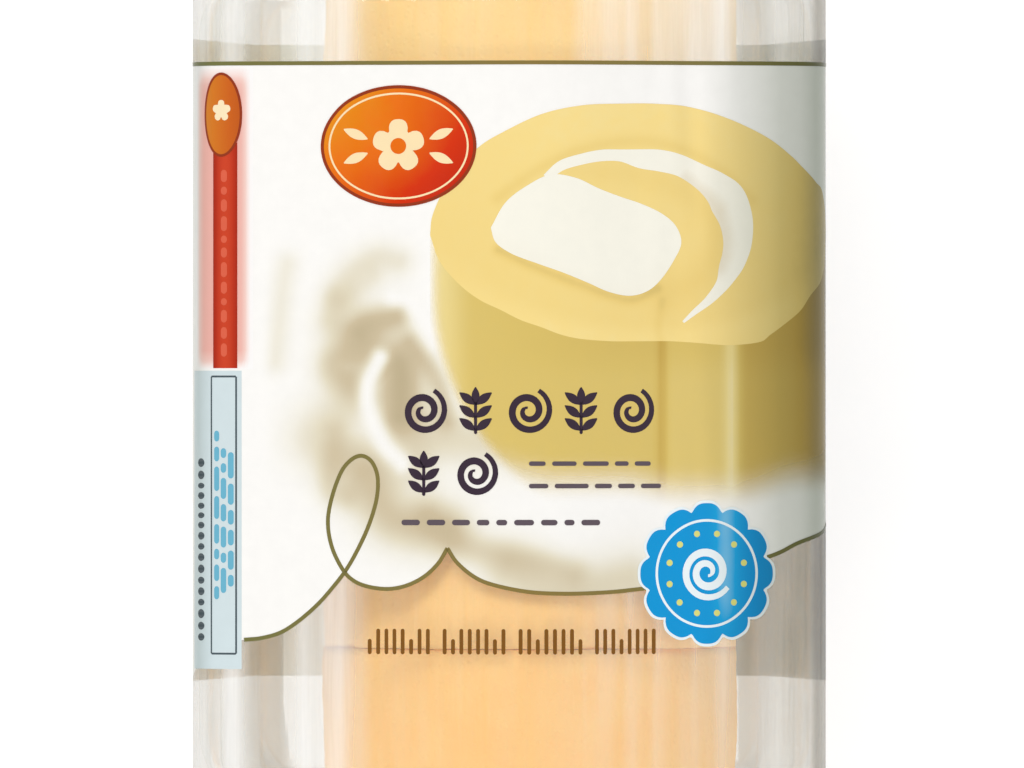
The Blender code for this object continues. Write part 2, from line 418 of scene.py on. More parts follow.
# %% [markdown]
# ## Materials
# Clear film passes most light and mirrors a little, more at a glancing angle, which is what a
# Fresnel mix of a transparent and a glossy shader does. A thin white veil on top stands for the
# milky look of polypropylene. Glass would bend light, which film this thin does not.

# %% Helpers for node materials
def new_material(name):
    """A material with nothing but its output node, and that node tree."""
    material = bpy.data.materials.new(name)
    material.use_nodes = True
    material.node_tree.nodes.clear()
    return material, material.node_tree


def add_node(tree, kind, links=None, **settings):
    """A node with attributes and inputs set by name, and its inputs linked from other sockets."""
    node = tree.nodes.new(kind)
    for key, value in settings.items():
        if key in node.inputs:
            node.inputs[key].default_value = value
        else:
            setattr(node, key, value)
    for key, socket in (links or {}).items():
        tree.links.new(socket, node.inputs[key])
    return node


def stretched_noise(tree, scale, stretch, **settings):
    """Noise on Object coordinates, drawn out by stretch along X, Y and Z."""
    place = add_node(tree, "ShaderNodeTexCoord").outputs["Object"]
    mapping = add_node(tree, "ShaderNodeMapping", {"Vector": place})
    mapping.inputs["Scale"].default_value = stretch
    return add_node(tree, "ShaderNodeTexNoise", {"Vector": mapping.outputs[0]}, Scale=scale, **settings)


def remap(tree, socket, low, high, to_low, to_high):
    """Carries a value from one range to another and clamps it there."""
    node = add_node(tree, "ShaderNodeMapRange", {"Value": socket})
    for key, value in (("From Min", low), ("From Max", high), ("To Min", to_low), ("To Max", to_high)):
        node.inputs[key].default_value = value
    return node.outputs["Result"]


def reckon(tree, operation, first, second, **settings):
    """Result of a sum on a socket and either a second socket or a number."""
    node = add_node(tree, "ShaderNodeMath", {0: first}, operation=operation, **settings)
    if isinstance(second, float):
        node.inputs[1].default_value = second
    else:
        tree.links.new(second, node.inputs[1])
    return node.outputs[0]


def mix_colours(tree, factor, first, second, blend_type="MIX"):
    """Colour between two colours, or their product, by a factor; each is a socket or (red, green, blue)."""
    node = add_node(tree, "ShaderNodeMix", {"Factor": factor}, data_type="RGBA", blend_type=blend_type)
    for number, colour in ((6, first), (7, second)):
        if isinstance(colour, tuple):
            node.inputs[number].default_value = (*colour, 1.0)
        else:
            tree.links.new(colour, node.inputs[number])
    return node.outputs[2]


def mix_shaders(tree, factor, first, second):
    """Shader between two shaders by a factor."""
    return add_node(tree, "ShaderNodeMixShader", {0: factor, 1: first, 2: second}).outputs[0]


def point_value(tree, name):
    """A number that the piece keeps on each of its points."""
    return add_node(tree, "ShaderNodeAttribute", attribute_name=name).outputs["Fac"]


def bumped(tree, height, strength, distance):
    """Normal tilted by a height."""
    node = add_node(tree, "ShaderNodeBump", {"Height": height}, Strength=strength, Distance=distance)
    return node.outputs[0]


def is_passing_light(tree):
    """1 for light on its way to or from another surface, and 0 for sight."""
    path = add_node(tree, "ShaderNodeLightPath").outputs
    return reckon(tree, "MAXIMUM", path["Is Shadow Ray"], path["Is Diffuse Ray"])


def finish_material(tree, shader):
    """Links a shader to a new output."""
    output = add_node(tree, "ShaderNodeOutputMaterial")
    tree.links.new(shader, output.inputs["Surface"])


# %% Clear plastic: film and tray
WRINKLE_SCALE = 260.0
WRINKLE_DEPTH = 0.0004
VEIL_COLOUR = (0.97, 0.97, 0.96, 1.0)


def wrinkles(tree, stretch):
    """Fine wrinkles of drawn film, as a value."""
    return stretched_noise(tree, WRINKLE_SCALE, stretch, Detail=4.0, Roughness=0.6).outputs["Fac"]


def clear_plastic(name, tint, edge_tint, bend_and_shade_tint, veil, cap, roughness, wrinkle, stretch):
    """Transparent, greyer edge on, mirrored by Fresnel, under a white veil that streaks along the pack.

    Milky film scatters light onward rather than stopping it, so light that passes it loses less
    than sight does. The mirrored share is capped, so that walls seen edge on through each other
    stay clear. Where the piece has a haze value, the veil is thicker: milky creases, and painted
    highlights where soft lights would glint. Where it has a bend value, less light comes through:
    tight bends, and painted shade down the right wall.
    """
    material, tree = new_material(name)
    streaks = wrinkles(tree, stretch)
    bump = bumped(tree, streaks, wrinkle, WRINKLE_DEPTH)
    gloss = add_node(tree, "ShaderNodeBsdfGlossy", {"Normal": bump}, Roughness=roughness).outputs[0]
    fresnel = add_node(tree, "ShaderNodeFresnel", {"Normal": bump}, IOR=1.5).outputs[0]
    passed = remap(tree, is_passing_light(tree), 0.0, 1.0, 1.0, 0.15)
    facing = add_node(tree, "ShaderNodeLayerWeight", Blend=0.5).outputs["Facing"]
    edge_on = reckon(tree, "MULTIPLY", reckon(tree, "POWER", facing, 3.0), passed)
    tone = mix_colours(tree, edge_on, tint, edge_tint)
    turned = reckon(tree, "MULTIPLY", point_value(tree, "bend_and_shade"), passed)
    dimmed = mix_colours(tree, turned, tone, bend_and_shade_tint, "MULTIPLY")
    clear = add_node(tree, "ShaderNodeBsdfTransparent", {"Color": dimmed}).outputs[0]
    mirror = reckon(tree, "MULTIPLY", remap(tree, fresnel, 0.0, cap, 0.0, cap), passed)
    mirrored = mix_shaders(tree, mirror, clear, gloss)
    white = add_node(tree, "ShaderNodeBsdfDiffuse", {"Normal": bump}, Color=VEIL_COLOUR).outputs[0]
    broken = remap(tree, streaks, 0.3, 0.7, 0.75, 1.2)
    own_haze_and_highlight = reckon(tree, "MULTIPLY", point_value(tree, "haze_and_highlight"), broken)
    milky = reckon(tree, "ADD", remap(tree, streaks, 0.3, 0.75, *veil), own_haze_and_highlight, use_clamp=True)
    finish_material(tree, mix_shaders(tree, reckon(tree, "MULTIPLY", milky, passed), mirrored, white))
    return material


# Tints face on, edge on, and where the bend value dims the film; down the right wall that is painted shade.
FILM_TINTS = ((0.99, 0.99, 0.985), (0.80, 0.80, 0.78), (0.64, 0.62, 0.58))
TRAY_TINTS = ((0.98, 0.985, 0.98), (0.93, 0.94, 0.93), (1.0, 1.0, 1.0))
film_clear = clear_plastic("film_clear", *FILM_TINTS, (0.03, 0.12), 0.3, 0.09, 0.35, (1.0, 0.05, 1.0))
tray_clear = clear_plastic("tray_clear", *TRAY_TINTS, (0.02, 0.08), 0.12, 0.12, 0.15, (0.3, 0.3, 0.3))

# %% [markdown]
# ## Sponge and cream
# Sponge is matte and full of small bubbles, and its baked skin is browner than its crumb. Cream
# is smooth, with drag marks of the knife. Light goes a little way into both, so each is a
# Principled shader with some subsurface light, and noise gives the colours and the bumps.

# %% Crumb, baked skin and whipped cream
CRUMB_COLOURS = ((0.92, 0.70, 0.34), (0.96, 0.78, 0.44))
SKIN_COLOURS = ((0.98, 0.54, 0.165), (0.99, 0.665, 0.245))
CREAM_COLOURS = ((0.90, 0.85, 0.72), (0.95, 0.93, 0.85))


def soft_food(tree, colour, normal, roughness, under_skin, reach):
    """Matte shader with a share of light that spreads under the skin, by reach for red, green and blue."""
    links = {"Base Color": colour, "Normal": normal}
    shader = add_node(tree, "ShaderNodeBsdfPrincipled", links, Roughness=roughness)
    shader.inputs["Subsurface Weight"].default_value = under_skin
    shader.inputs["Subsurface Radius"].default_value = reach
    finish_material(tree, shader.outputs[0])


def sponge_material():
    """Yellow crumb with pores, and a deeper skin by the piece's own skin value, browner at one end."""
    material, tree = new_material("sponge")
    place = add_node(tree, "ShaderNodeTexCoord").outputs["Object"]
    pores = add_node(tree, "ShaderNodeTexVoronoi", {"Vector": place}, Scale=900.0, Randomness=1.0)
    broad = add_node(tree, "ShaderNodeTexNoise", {"Vector": place}, Scale=140.0, Detail=5.0, Roughness=0.65)
    patchy = broad.outputs["Fac"]
    crumb = mix_colours(tree, patchy, *CRUMB_COLOURS)
    along = add_node(tree, "ShaderNodeSeparateXYZ", {"Vector": place}).outputs["Y"]
    paler = reckon(tree, "ADD", patchy, remap(tree, along, -0.055, 0.045, 0.0, 1.0))
    baked = mix_colours(tree, remap(tree, paler, 0.3, 1.6, 0.0, 1.0), *SKIN_COLOURS)
    colour = mix_colours(tree, point_value(tree, "skin"), crumb, baked)
    holes = remap(tree, pores.outputs["Distance"], 0.0, 0.45, 0.0, 1.0)
    height = reckon(tree, "ADD", holes, patchy)
    soft_food(tree, colour, bumped(tree, height, 0.25, 0.00025), 0.75, 0.15, (0.004, 0.002, 0.001))
    return material


def cream_material():
    """Whipped cream: ivory, soft, with the fine drag marks of the knife."""
    material, tree = new_material("cream")
    drag = stretched_noise(tree, 160.0, (1.0, 0.4, 2.5), Detail=3.0).outputs["Fac"]
    tone = mix_colours(tree, drag, *CREAM_COLOURS)
    soft_food(tree, tone, bumped(tree, drag, 0.3, 0.0006), 0.45, 0.2, (0.003, 0.003, 0.002))
    return material


sponge = sponge_material()
cream = cream_material()

# %% [markdown]
# ## The slices
# A swiss roll is one sheet of sponge spread with cream and rolled up, so each slice is a strip
# that winds from the seam on the outside, once round, and half a turn more round a core of
# cream. The outside stays round, and the first, thin end of the strip lies over the place where
# the sheet dives inward. So the outer edge is a round, and each inner edge follows from the
# edges outside it. All six slices share the function and differ by a seed, as cut cake does.

# %% Edges of the rolled sheet
SLICES = 6
SLICE_PITCH = 20.85
SLICE_HALF = 10.42
ROLL_CENTRE = np.array([3.0, 36.1])
ROLL_HALF = np.array([32.8, 34.0])
ROLL_ROUND = 33.0
SHEET, SHEET_TIP, SHEET_GROWN = 11.2, 1.4, math.radians(70.0)
CREAM_LINE, CREAM_LINE_TIP, CREAM_LINE_GROWN = 3.0, 0.35, math.radians(65.0)
SEAM_TURN = math.radians(-62.0)
SEAM_DIP, SEAM_DIP_TURN = 1.75, math.radians(24.0)
CURL_END = TURN + math.radians(205.0)
CURL_ROUND, SEAM_ROUND = 0.42, 0.03


def spread(theta):
    """Thickness of the sheet as it was spread: thin at the seam, and full after 70 degrees."""
    return SHEET_TIP + (SHEET - SHEET_TIP) * ease(theta, 0.0, SHEET_GROWN)


def sheet_thickness(theta):
    """Thickness of the sponge: as spread, with both ends rounded by quarter circles."""
    near_end = np.clip((theta - CURL_END + CURL_ROUND) / CURL_ROUND, 0.0, 1.0)
    near_seam = np.clip(1.0 - theta / SEAM_ROUND, 0.0, 1.0)
    return spread(theta) * np.sqrt(1.0 - near_end**2) * np.sqrt(1.0 - near_seam**2)


def outer_edge(theta):
    """Radius of the sheet's outer side: round for one turn, then under the layer outside it."""
    under = theta - TURN
    gap = CREAM_LINE_TIP + (CREAM_LINE - CREAM_LINE_TIP) * ease(under, 0.0, CREAM_LINE_GROWN)
    dip = SEAM_DIP * ease(theta, TURN - SEAM_DIP_TURN, TURN)
    return np.where(theta < TURN, ROLL_ROUND - dip, ROLL_ROUND - spread(under) - gap)


def sheet_sides(theta):
    """Radii of the outer and the inner side; the round end closes on the sheet's middle."""
    middle = outer_edge(theta) - 0.5 * spread(theta)
    half = 0.5 * sheet_thickness(theta)
    return middle + half, middle - half


def on_section(theta, radius, turn=0.0):
    """x and z of a point of the roll's section, squeezed a little oval."""
    angle = SEAM_TURN + theta + turn
    return np.stack([
        ROLL_CENTRE[0] + ROLL_HALF[0] / ROLL_ROUND * radius * np.cos(angle),
        ROLL_CENTRE[1] + ROLL_HALF[1] / ROLL_ROUND * radius * np.sin(angle),
    ], axis=-1)


# %% The sponge strip
EDGE_ROUND_ACROSS, EDGE_ROUND_ALONG, EDGE_POWER = 0.008, 0.004, 14
# Lumps are their depth and their size.
SKIN_LUMPS = ((0.22, 17.0), (0.07, 3.1))
CUT_LUMPS = (0.05, 2.3)


def sponge_grid(middle_y, turn, seed, path_steps=190, face_steps=9, skin_steps=14):
    """The strip: round its cross-section by columns, along the winding by rows.

    Its long edges are a little round, its skin is lumpy, and its cut faces are less so.
    """
    theta = np.unique(np.concatenate([
        np.linspace(0.0, CURL_END, path_steps),
        CURL_END - CURL_ROUND * (1.0 - np.sin(np.linspace(0.0, 0.5 * math.pi, 14))),
        np.linspace(0.0, SEAM_ROUND, 5),
    ]))
    face = np.linspace(-1.0, 1.0, face_steps, endpoint=False)
    side = np.linspace(-1.0, 1.0, skin_steps, endpoint=False)
    across = np.concatenate([face, np.ones(skin_steps), -face, -np.ones(skin_steps)])
    along = np.concatenate([-np.ones(face_steps), side, np.ones(face_steps), -side])
    rounded_across = across * (1.0 - EDGE_ROUND_ACROSS * np.abs(along) ** EDGE_POWER)
    rounded_along = along * (1.0 - EDGE_ROUND_ALONG * np.abs(across) ** EDGE_POWER)
    outer, inner = sheet_sides(theta)
    radius = 0.5 * (outer + inner)[:, None] + 0.5 * (outer - inner)[:, None] * rounded_across
    section = on_section(theta[:, None], radius, turn)
    y = middle_y + SLICE_HALF * np.broadcast_to(rounded_along, radius.shape)
    points = np.stack([section[..., 0], y, section[..., 1]], axis=-1)
    skin = np.broadcast_to(np.abs(across) > 0.999, radius.shape) * 1.0
    angle = SEAM_TURN + theta + turn
    away = np.stack([np.cos(angle), 0.0 * theta, np.sin(angle)], axis=-1)
    lumpy = sum(depth * lumps(points, size, seed + k) for k, (depth, size) in enumerate(SKIN_LUMPS))
    shut = np.sqrt(np.clip((outer - inner) / SHEET, 0.0, 1.0))[:, None]
    points = points + away[:, None, :] * (lumpy * rounded_across * shut)[..., None]
    rough = CUT_LUMPS[0] * lumps(points, CUT_LUMPS[1], seed + 2)
    points[..., 1] += rough * rounded_along * (np.abs(along) > 0.999) * shut
    return points, skin


# %% The cream between the turns
CREAM_GAP = 0.06
CREAM_INSET = 0.35
CREAM_DOME = 0.45
CREAM_START = math.radians(4.0)
CREAM_LUMPS = (0.16, 5.0)
HEART_TURN, HEART_RADIUS = math.radians(232.0), 6.5
FAN_TURN = 1.0


def cream_grid(middle_y, turn, seed, steps=150, rings=6):
    """A plug of cream: its edge follows the sheet, and its faces dome towards a line down its middle.

    The edge goes up the inner side of the sheet to the end of the curl and back along the outer
    side. The middle line runs up the cream line and on to the heart of the core, and at the end of
    the curl the fan of columns comes back from the heart by the same points.
    """
    lane_end = CURL_END - TURN
    up = np.linspace(CREAM_START, CURL_END, 2 * steps)
    fan = up[(up > lane_end) & (up < lane_end + FAN_TURN)][::-1]
    back = np.linspace(CURL_END, TURN + CREAM_START, steps)
    theta = np.concatenate([up, np.full(fan.size, CURL_END), back])
    lane = np.concatenate([up, fan, back - TURN])
    outer, inner = sheet_sides(theta)
    radius = np.where(np.arange(theta.size) < up.size, inner - CREAM_GAP, outer + CREAM_GAP)
    edge = on_section(theta, radius, turn)
    lane_theta = np.clip(lane, 0.0, lane_end)
    lane_outer = sheet_sides(lane_theta)[1]
    lane_inner = sheet_sides(np.minimum(lane_theta + TURN, CURL_END - 0.4))[0]
    in_lane = on_section(lane_theta, 0.5 * (lane_outer + lane_inner), turn)
    heart = on_section(np.array(HEART_TURN), np.array(HEART_RADIUS), turn)
    to_heart = ease(lane, lane_end - 0.1, lane_end + FAN_TURN)[:, None]
    middle = in_lane + (heart - in_lane) * to_heart
    depth = np.linspace(1.0, 0.0, rings)
    rise = SLICE_HALF - CREAM_INSET + CREAM_DOME * np.sqrt(1.0 - (1.0 - depth) ** 2)
    half = np.concatenate([depth, depth[::-1]])
    height = np.concatenate([-rise, rise[::-1]])
    section = edge + (middle - edge) * half[:, None, None]
    y = middle_y + np.broadcast_to(height[:, None], section.shape[:2])
    points = np.stack([section[..., 0], y, section[..., 1]], axis=-1)
    uneven = CREAM_LUMPS[0] * lumps(points, CREAM_LUMPS[1], seed)
    points[..., 1] += uneven * half[:, None] * np.sign(height)[:, None]
    return points


# %% Six slices in a row
slice_chance = np.random.default_rng(41)
for number in range(SLICES):
    middle_y = (number - 0.5 * (SLICES - 1)) * SLICE_PITCH
    turn = math.radians(slice_chance.uniform(-2.0, 2.0))
    shift = np.array([slice_chance.uniform(-0.35, 0.35), 0.0, slice_chance.uniform(-0.25, 0.15)])
    points, skin = sponge_grid(middle_y, turn, 100 + 7 * number)
    piece = make_piece(
        f"slice_{number + 1}_sponge", points + shift, sponge,
        wrap=CLOSED_RINGS, values={"skin": [skin]}, welded=True,
    )
    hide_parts("film_pack")
    points = cream_grid(middle_y, turn, 500 + 7 * number)
    make_piece(f"slice_{number + 1}_cream", points + shift, cream, wrap=CLOSED_RINGS, welded=True)
print("made", SLICES, "slices of", 2 * SLICE_HALF, "mm")

# %% [markdown]
# ## The tray
# A thermoformed tray is one sheet pressed over a mould: a flat floor, walls that lean out so the
# tray lifts off the mould, ribs that stiffen them, and a flange. Each ring of it is a rounded
# rectangle, so a row of the grid is a ring and the rows climb from the floor to the flange.
# The end walls are cut low, so that the first slice can be lifted out.

# %% Rings of the tray
TRAY_FLOOR_Z = 1.3
TRAY_FLOOR_HALF = (36.6, 60.2)
TRAY_CORNER = 5.0
TRAY_HEEL = 3.8
TRAY_LEAN = (0.14, 0.05)
TRAY_RIM_Z = 53.0
TRAY_END_Z = 25.0
FLANGE_WIDTH = 1.8
FLOOR_DOME = 0.5
HEEL_TURN = 0.5 * math.pi - 0.2
TRAY_RIBS, RIB_DEPTH, RIB_SPAN = 9, 0.7, 118.0
CORNER_GROWTH = 2.0


def ring_pattern(corner_steps=14, end_steps=40, side_steps=90):
    """Factors that make a rounded rectangle: position = a * (half size - radius) + b * radius."""
    quarter = np.linspace(0.0, 0.5 * math.pi, corner_steps)
    rows = []
    for number, steps in enumerate((end_steps, side_steps, end_steps, side_steps)):
        angle = quarter + 0.5 * math.pi * number
        corner = np.sign([math.cos(angle.mean()), math.sin(angle.mean())])
        after = 0.5 * math.pi * (number + 1)
        next_corner = np.sign([math.cos(after + TURN / 8.0), math.sin(after + TURN / 8.0)])
        round_ = np.stack([np.cos(angle), np.sin(angle)], axis=1)
        rows.append(np.concatenate([np.broadcast_to(corner, round_.shape), round_], axis=1))
        t = np.linspace(0.0, 1.0, steps + 1)[1:-1, None]
        straight = np.broadcast_to([math.cos(after), math.sin(after)], (t.size, 2))
        rows.append(np.concatenate([corner + (next_corner - corner) * t, straight], axis=1))
    return np.concatenate(rows)


def tray_grid():
    """Floor, heel, ribbed wall, flange and lip, ring by ring."""
    pattern = ring_pattern()
    a, b = pattern[:, :2], pattern[:, 2:]
    floor = a * (np.array(TRAY_FLOOR_HALF) - TRAY_CORNER) + b * TRAY_CORNER
    is_end = ease(np.abs(floor[:, 1]), TRAY_FLOOR_HALF[1] - 6.0, TRAY_FLOOR_HALF[1] - 1.0)
    low_end = is_end * ease(-np.abs(floor[:, 0]), -TRAY_FLOOR_HALF[0], 10.0 - TRAY_FLOOR_HALF[0])
    rim_z = TRAY_RIM_Z + (TRAY_END_Z - TRAY_RIM_Z) * low_end
    rows = []

    def ring(half, radius, z):
        """Adds one rounded rectangle at its height."""
        place = a * (half - radius) + b * radius
        rows.append(np.column_stack([place, np.broadcast_to(z, len(place))]))

    half = np.array(TRAY_FLOOR_HALF)
    for share in np.linspace(0.0, 1.0, 10):
        inner = np.array([share * half[0], half[1] - half[0] * (1.0 - share)])
        ring(inner, TRAY_CORNER * share, TRAY_FLOOR_Z + FLOOR_DOME * math.sin(math.pi * share) ** 2)
    for angle in np.linspace(0.0, HEEL_TURN, 7)[1:]:
        ring(
            half + TRAY_HEEL * math.sin(angle),
            TRAY_CORNER + TRAY_HEEL * math.sin(angle),
            TRAY_FLOOR_Z + TRAY_HEEL * (1.0 - math.cos(angle)),
        )
    heel_half = half + TRAY_HEEL * math.sin(HEEL_TURN)
    heel_z = TRAY_FLOOR_Z + TRAY_HEEL * (1.0 - math.cos(HEEL_TURN))
    waves = np.cos(TURN * TRAY_RIBS * floor[:, 1] / RIB_SPAN)
    for share in np.linspace(0.0, 1.0, 24)[1:]:
        climb = (rim_z - heel_z) * share
        rib = RIB_DEPTH * math.sin(math.pi * share) ** 0.5 * waves * (1.0 - is_end)
        wall = heel_half + np.column_stack([climb * TRAY_LEAN[0] + rib, climb * TRAY_LEAN[1]])
        ring(wall, TRAY_CORNER + TRAY_HEEL + CORNER_GROWTH * share, heel_z + climb)
    flange = ((0.5, -0.25), (FLANGE_WIDTH - 0.5, -0.25), (FLANGE_WIDTH, 0.1), (FLANGE_WIDTH + 0.1, 1.4))
    for out, drop in flange:
        ring(wall + out * np.array([1.0, 0.6]), TRAY_CORNER + TRAY_HEEL + CORNER_GROWTH + out, rim_z - drop)
    return np.stack(rows)


tray = make_piece("tray", tray_grid(), tray_clear, wrap=CLOSED_RINGS, welded=True)
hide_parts("film_pack")
wall_sheet = tray.modifiers.new("sheet", "SOLIDIFY")
wall_sheet.thickness = 0.35 * MM
wall_sheet.offset = -1.0
tray_low, tray_high = (np.array([corner[i] for corner in tray.bound_box]) for i in (0, 2))
print("tray", round(np.ptp(tray_low) / MM, 1), "mm wide,", round(np.ptp(tray_high) / MM, 1), "mm high")

# %% [markdown]
# ## Film over the tray
# The real film is drawn over the loaded tray and never cut. Ours is the one closed grid from
# above, so there is no seam to hide. It carries haze and bend values: milky creases with painted
# highlights, and tight bends with painted shade.

# %% Draw the film over it
film_points = film_grid()
film_haze_and_highlight = haze_and_highlight(film_columns(), film_points[..., 1])
film_values = {"haze_and_highlight": [film_haze_and_highlight], "bend_and_shade": [bend_and_shade(film_points)]}
film = make_piece(
    "film", film_points, film_clear, wrap=CLOSED_RINGS, values=film_values, welded=True
)
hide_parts("film_pack")
print("film has", len(film.data.polygons), "faces")

# %% [markdown]
# ## Ink
# The print is laid on the film in coats: first a white field, then pictures and marks on top.
# Each coat is a patch of the film's own formula, lifted a little more than the coat below, and
# closed into a sheet of its own thickness. Places on the flat artwork are u, in millimetres from
# the crown towards the right, and y along the pack. An image texture would be quicker, but ink
# as thin sheets keeps sharp edges at any size, and each colour stays a plain material.

# %% Swatches and coats
COAT = 0.012
COAT_LIFT = 0.018
FINE = 0.5
ART_SHIFT = 3.8
ART_STRETCH = 1.006
INK_DEPTH = 0.93
INK_ROUGHNESS = 0.25
INK_GLEAM = 0.15
# Colour of the painted shade laid on the ink where the film turns away from the light.
SHADE_TINT = (0.36, 0.395, 0.34)
# Places across the front, and how deep the shade is at each.
SHADE_KNOTS = (
    (-74.0, -62.0, -55.8, -54.0, -52.0, 27.5, 34.3, 40.8, 44.7, 48.6, 58.0, 76.0),
    (0.0, 0.45, 0.42, 0.2, 0.0, 0.0, 0.37, 0.69, 0.735, 0.94, 0.94, 0.0),
)


def shoulder_shade(u, y):
    """Soft painted shade down both shoulders, broad and deep at the right, light at the left rim."""
    return np.interp(u, *SHADE_KNOTS)


def swatch(red, green, blue):
    """Linear colour of a swatch given as 0 to 255: the display curve undone, less what ink soaks up."""
    share = np.array([red, green, blue]) / 255.0
    linear = np.where(share <= 0.04045, share / 12.92, ((share + 0.055) / 1.055) ** 2.4)
    return (*(linear * INK_DEPTH).tolist(), 1.0)


def ink_material(name, *stops, grain=0.02, lets=0.0, thins=False):
    """Ink under gloss: a ramp through its swatches by the patch's own blend value, with a little grain.

    Its shade value darkens it with painted shade. Ink can let through a share of the light that
    falls on the pack, and such ink can thin too: then it is seen through where its cover value is low.
    """
    material, tree = new_material(name)
    speck = stretched_noise(tree, 420.0, (1.0, 1.0, 1.0), Detail=3.0).outputs["Fac"]
    place = reckon(tree, "ADD", point_value(tree, "blend"), remap(tree, speck, 0.2, 0.8, -grain, grain))
    ramp = add_node(tree, "ShaderNodeValToRGB", {"Fac": place})
    ramp.color_ramp.elements.remove(ramp.color_ramp.elements[1])
    for number, colour in enumerate(stops):
        position = number / max(1, len(stops) - 1)
        element = ramp.color_ramp.elements.new(position) if number else ramp.color_ramp.elements[0]
        element.position = position
        element.color = swatch(*colour)
    strength = remap(tree, speck, 0.3, 0.7, 0.985, 1.01)
    tone = add_node(tree, "ShaderNodeHueSaturation", {"Color": ramp.outputs[0], "Value": strength})
    shaded = mix_colours(tree, point_value(tree, "shade"), tone.outputs[0], SHADE_TINT, "MULTIPLY")
    bump = bumped(tree, wrinkles(tree, (1.0, 0.05, 1.0)), 0.14, WRINKLE_DEPTH)
    links = {"Base Color": shaded, "Normal": bump}
    shader = add_node(tree, "ShaderNodeBsdfPrincipled", links, Roughness=INK_ROUGHNESS)
    shader.inputs["Specular IOR Level"].default_value = INK_GLEAM
    if lets:
        solid = remap(tree, is_passing_light(tree), 0.0, 1.0, 1.0, 1.0 - lets)
        if thins:
            solid = reckon(tree, "MULTIPLY", solid, point_value(tree, "cover"))
        tree.links.new(solid, shader.inputs["Alpha"])
    finish_material(tree, shader.outputs[0])
    return material


# %% Sheets of ink laid on the film
def sharpen_rim(mesh):
    """Marks edges that only one face uses as sharp, so that a thin sheet's rim doesn't round its face."""
    used = np.empty(len(mesh.loops), dtype=np.int32)
    mesh.loops.foreach_get("edge_index", used)
    rim = np.bincount(used, minlength=len(mesh.edges)) == 1
    mesh.attributes.new("sharp_edge", "BOOLEAN", "EDGE").data.foreach_set("value", rim)


def print_ink(name, patches, coat, material, blend=None, cover=None, inside=None):
    """One piece of ink from patches (u, y) of the artwork, lifted off the film by its coat.

    Each point keeps its shade, and a blend and a cover value where a rule gives them. The film is
    stretched a little as it is drawn, so y grows. A white field can have another material on the
    side that faces the food.
    """
    patches = patches if isinstance(patches, list) else [patches]
    patches = [np.broadcast_arrays(u, y) for u, y in patches]
    grids = [on_film(CROWN_S + u, y * ART_STRETCH + ART_SHIFT, COAT_LIFT * coat) for u, y in patches]
    rules = (("blend", blend), ("cover", cover), ("shade", shoulder_shade))
    values = {
        key: [np.clip(rule(u, y), 0.0, 1.0) + 0.0 * u for u, y in patches]
        for key, rule in rules if rule is not None
    }
    ink = make_piece(name, grids, material, values=values)
    sharpen_rim(ink.data)
    sheet = ink.modifiers.new("sheet", "SOLIDIFY")
    sheet.thickness = COAT * MM
    sheet.offset = -1.0
    if inside is not None:
        ink.data.materials.append(inside)
        sheet.material_offset = 1
    return ink


# %% [markdown]
# ## Drawing tools for the artwork
# A few tools draw it all. A disc is a square grid pressed round, so it has no pole to pinch, and a
# blob is a disc pushed out to a smooth path. A ribbon is a path with a width that may change
# along it, which gives rules, rings, curls and leaves. A bar stands in for a word of small type.
# Soft shading is a brush stroke: a value that falls off with the distance to a path.

# %% Disc, ribbon and smooth path
PATH_STEP = 0.4


def disc(centre, half, outline=None):
    """(u, y) of an oval, pushed out to an outline by radius squared.

    A square of p and q is pressed round: x = p root(1 - q squared / 2), and y = q root(1 - p
    squared / 2). The push starts from the outline's middle radius, so that a deep notch doesn't
    fold the grid.
    """
    count = max(9, int(2.0 * max(half) / FINE) + 2)
    q, p = np.meshgrid(*[np.linspace(-1.0, 1.0, count)] * 2, indexing="ij")
    x, y = p * np.sqrt(1.0 - 0.5 * q**2), q * np.sqrt(1.0 - 0.5 * p**2)
    reach = 1.0
    if outline is not None:
        edge = outline(np.arctan2(y, x))
        middle = 0.5 * (edge.min() + edge.max())
        reach = middle + (edge - middle) * np.hypot(x, y) ** 2
    return centre[0] + half[0] * x * reach, centre[1] + half[1] * y * reach


def ribbon(path, width, columns=3):
    """(u, y) of a band: the path's points, moved along its right-hand normal by up to half the width."""
    step = np.gradient(path, axis=0)
    step /= np.linalg.norm(step, axis=1, keepdims=True)
    right = np.stack([step[:, 1], -step[:, 0]], axis=1)
    offset = np.linspace(-0.5, 0.5, columns) * np.reshape(width, (-1, 1))
    place = path[:, None, :] + right[:, None, :] * offset[..., None]
    return place[..., 0], place[..., 1]


def even_steps(path, spacing=FINE):
    """The same path with its points evenly spaced; a third column, a width, comes along."""
    along = np.concatenate([[0.0], np.cumsum(np.linalg.norm(np.diff(path[:, :2], axis=0), axis=1))])
    places = np.linspace(0.0, along[-1], max(3, int(along[-1] / spacing) + 1))
    return np.column_stack([np.interp(places, along, column) for column in path.T])


def smooth_path(*points, spacing=PATH_STEP):
    """Catmull-Rom curve: cubic stretches whose slope at each point is half the chord of its neighbours."""
    points = np.array(points, float)
    ends = 2.0 * points[[0, -1]] - points[[1, -2]]
    a, b, c, d = (np.concatenate([ends[:1], points, ends[1:]])[k:len(points) - 1 + k] for k in range(4))
    t = np.linspace(0.0, 1.0, 24, endpoint=False)[:, None, None]
    square, cube = 2.0 * a - 5.0 * b + 4.0 * c - d, 3.0 * b - a - 3.0 * c + d
    curve = 0.5 * (2.0 * b + (c - a) * t + square * t**2 + cube * t**3)
    curve = curve.transpose(1, 0, 2).reshape(-1, points.shape[1])
    return even_steps(np.concatenate([curve, points[-1:]]), spacing)


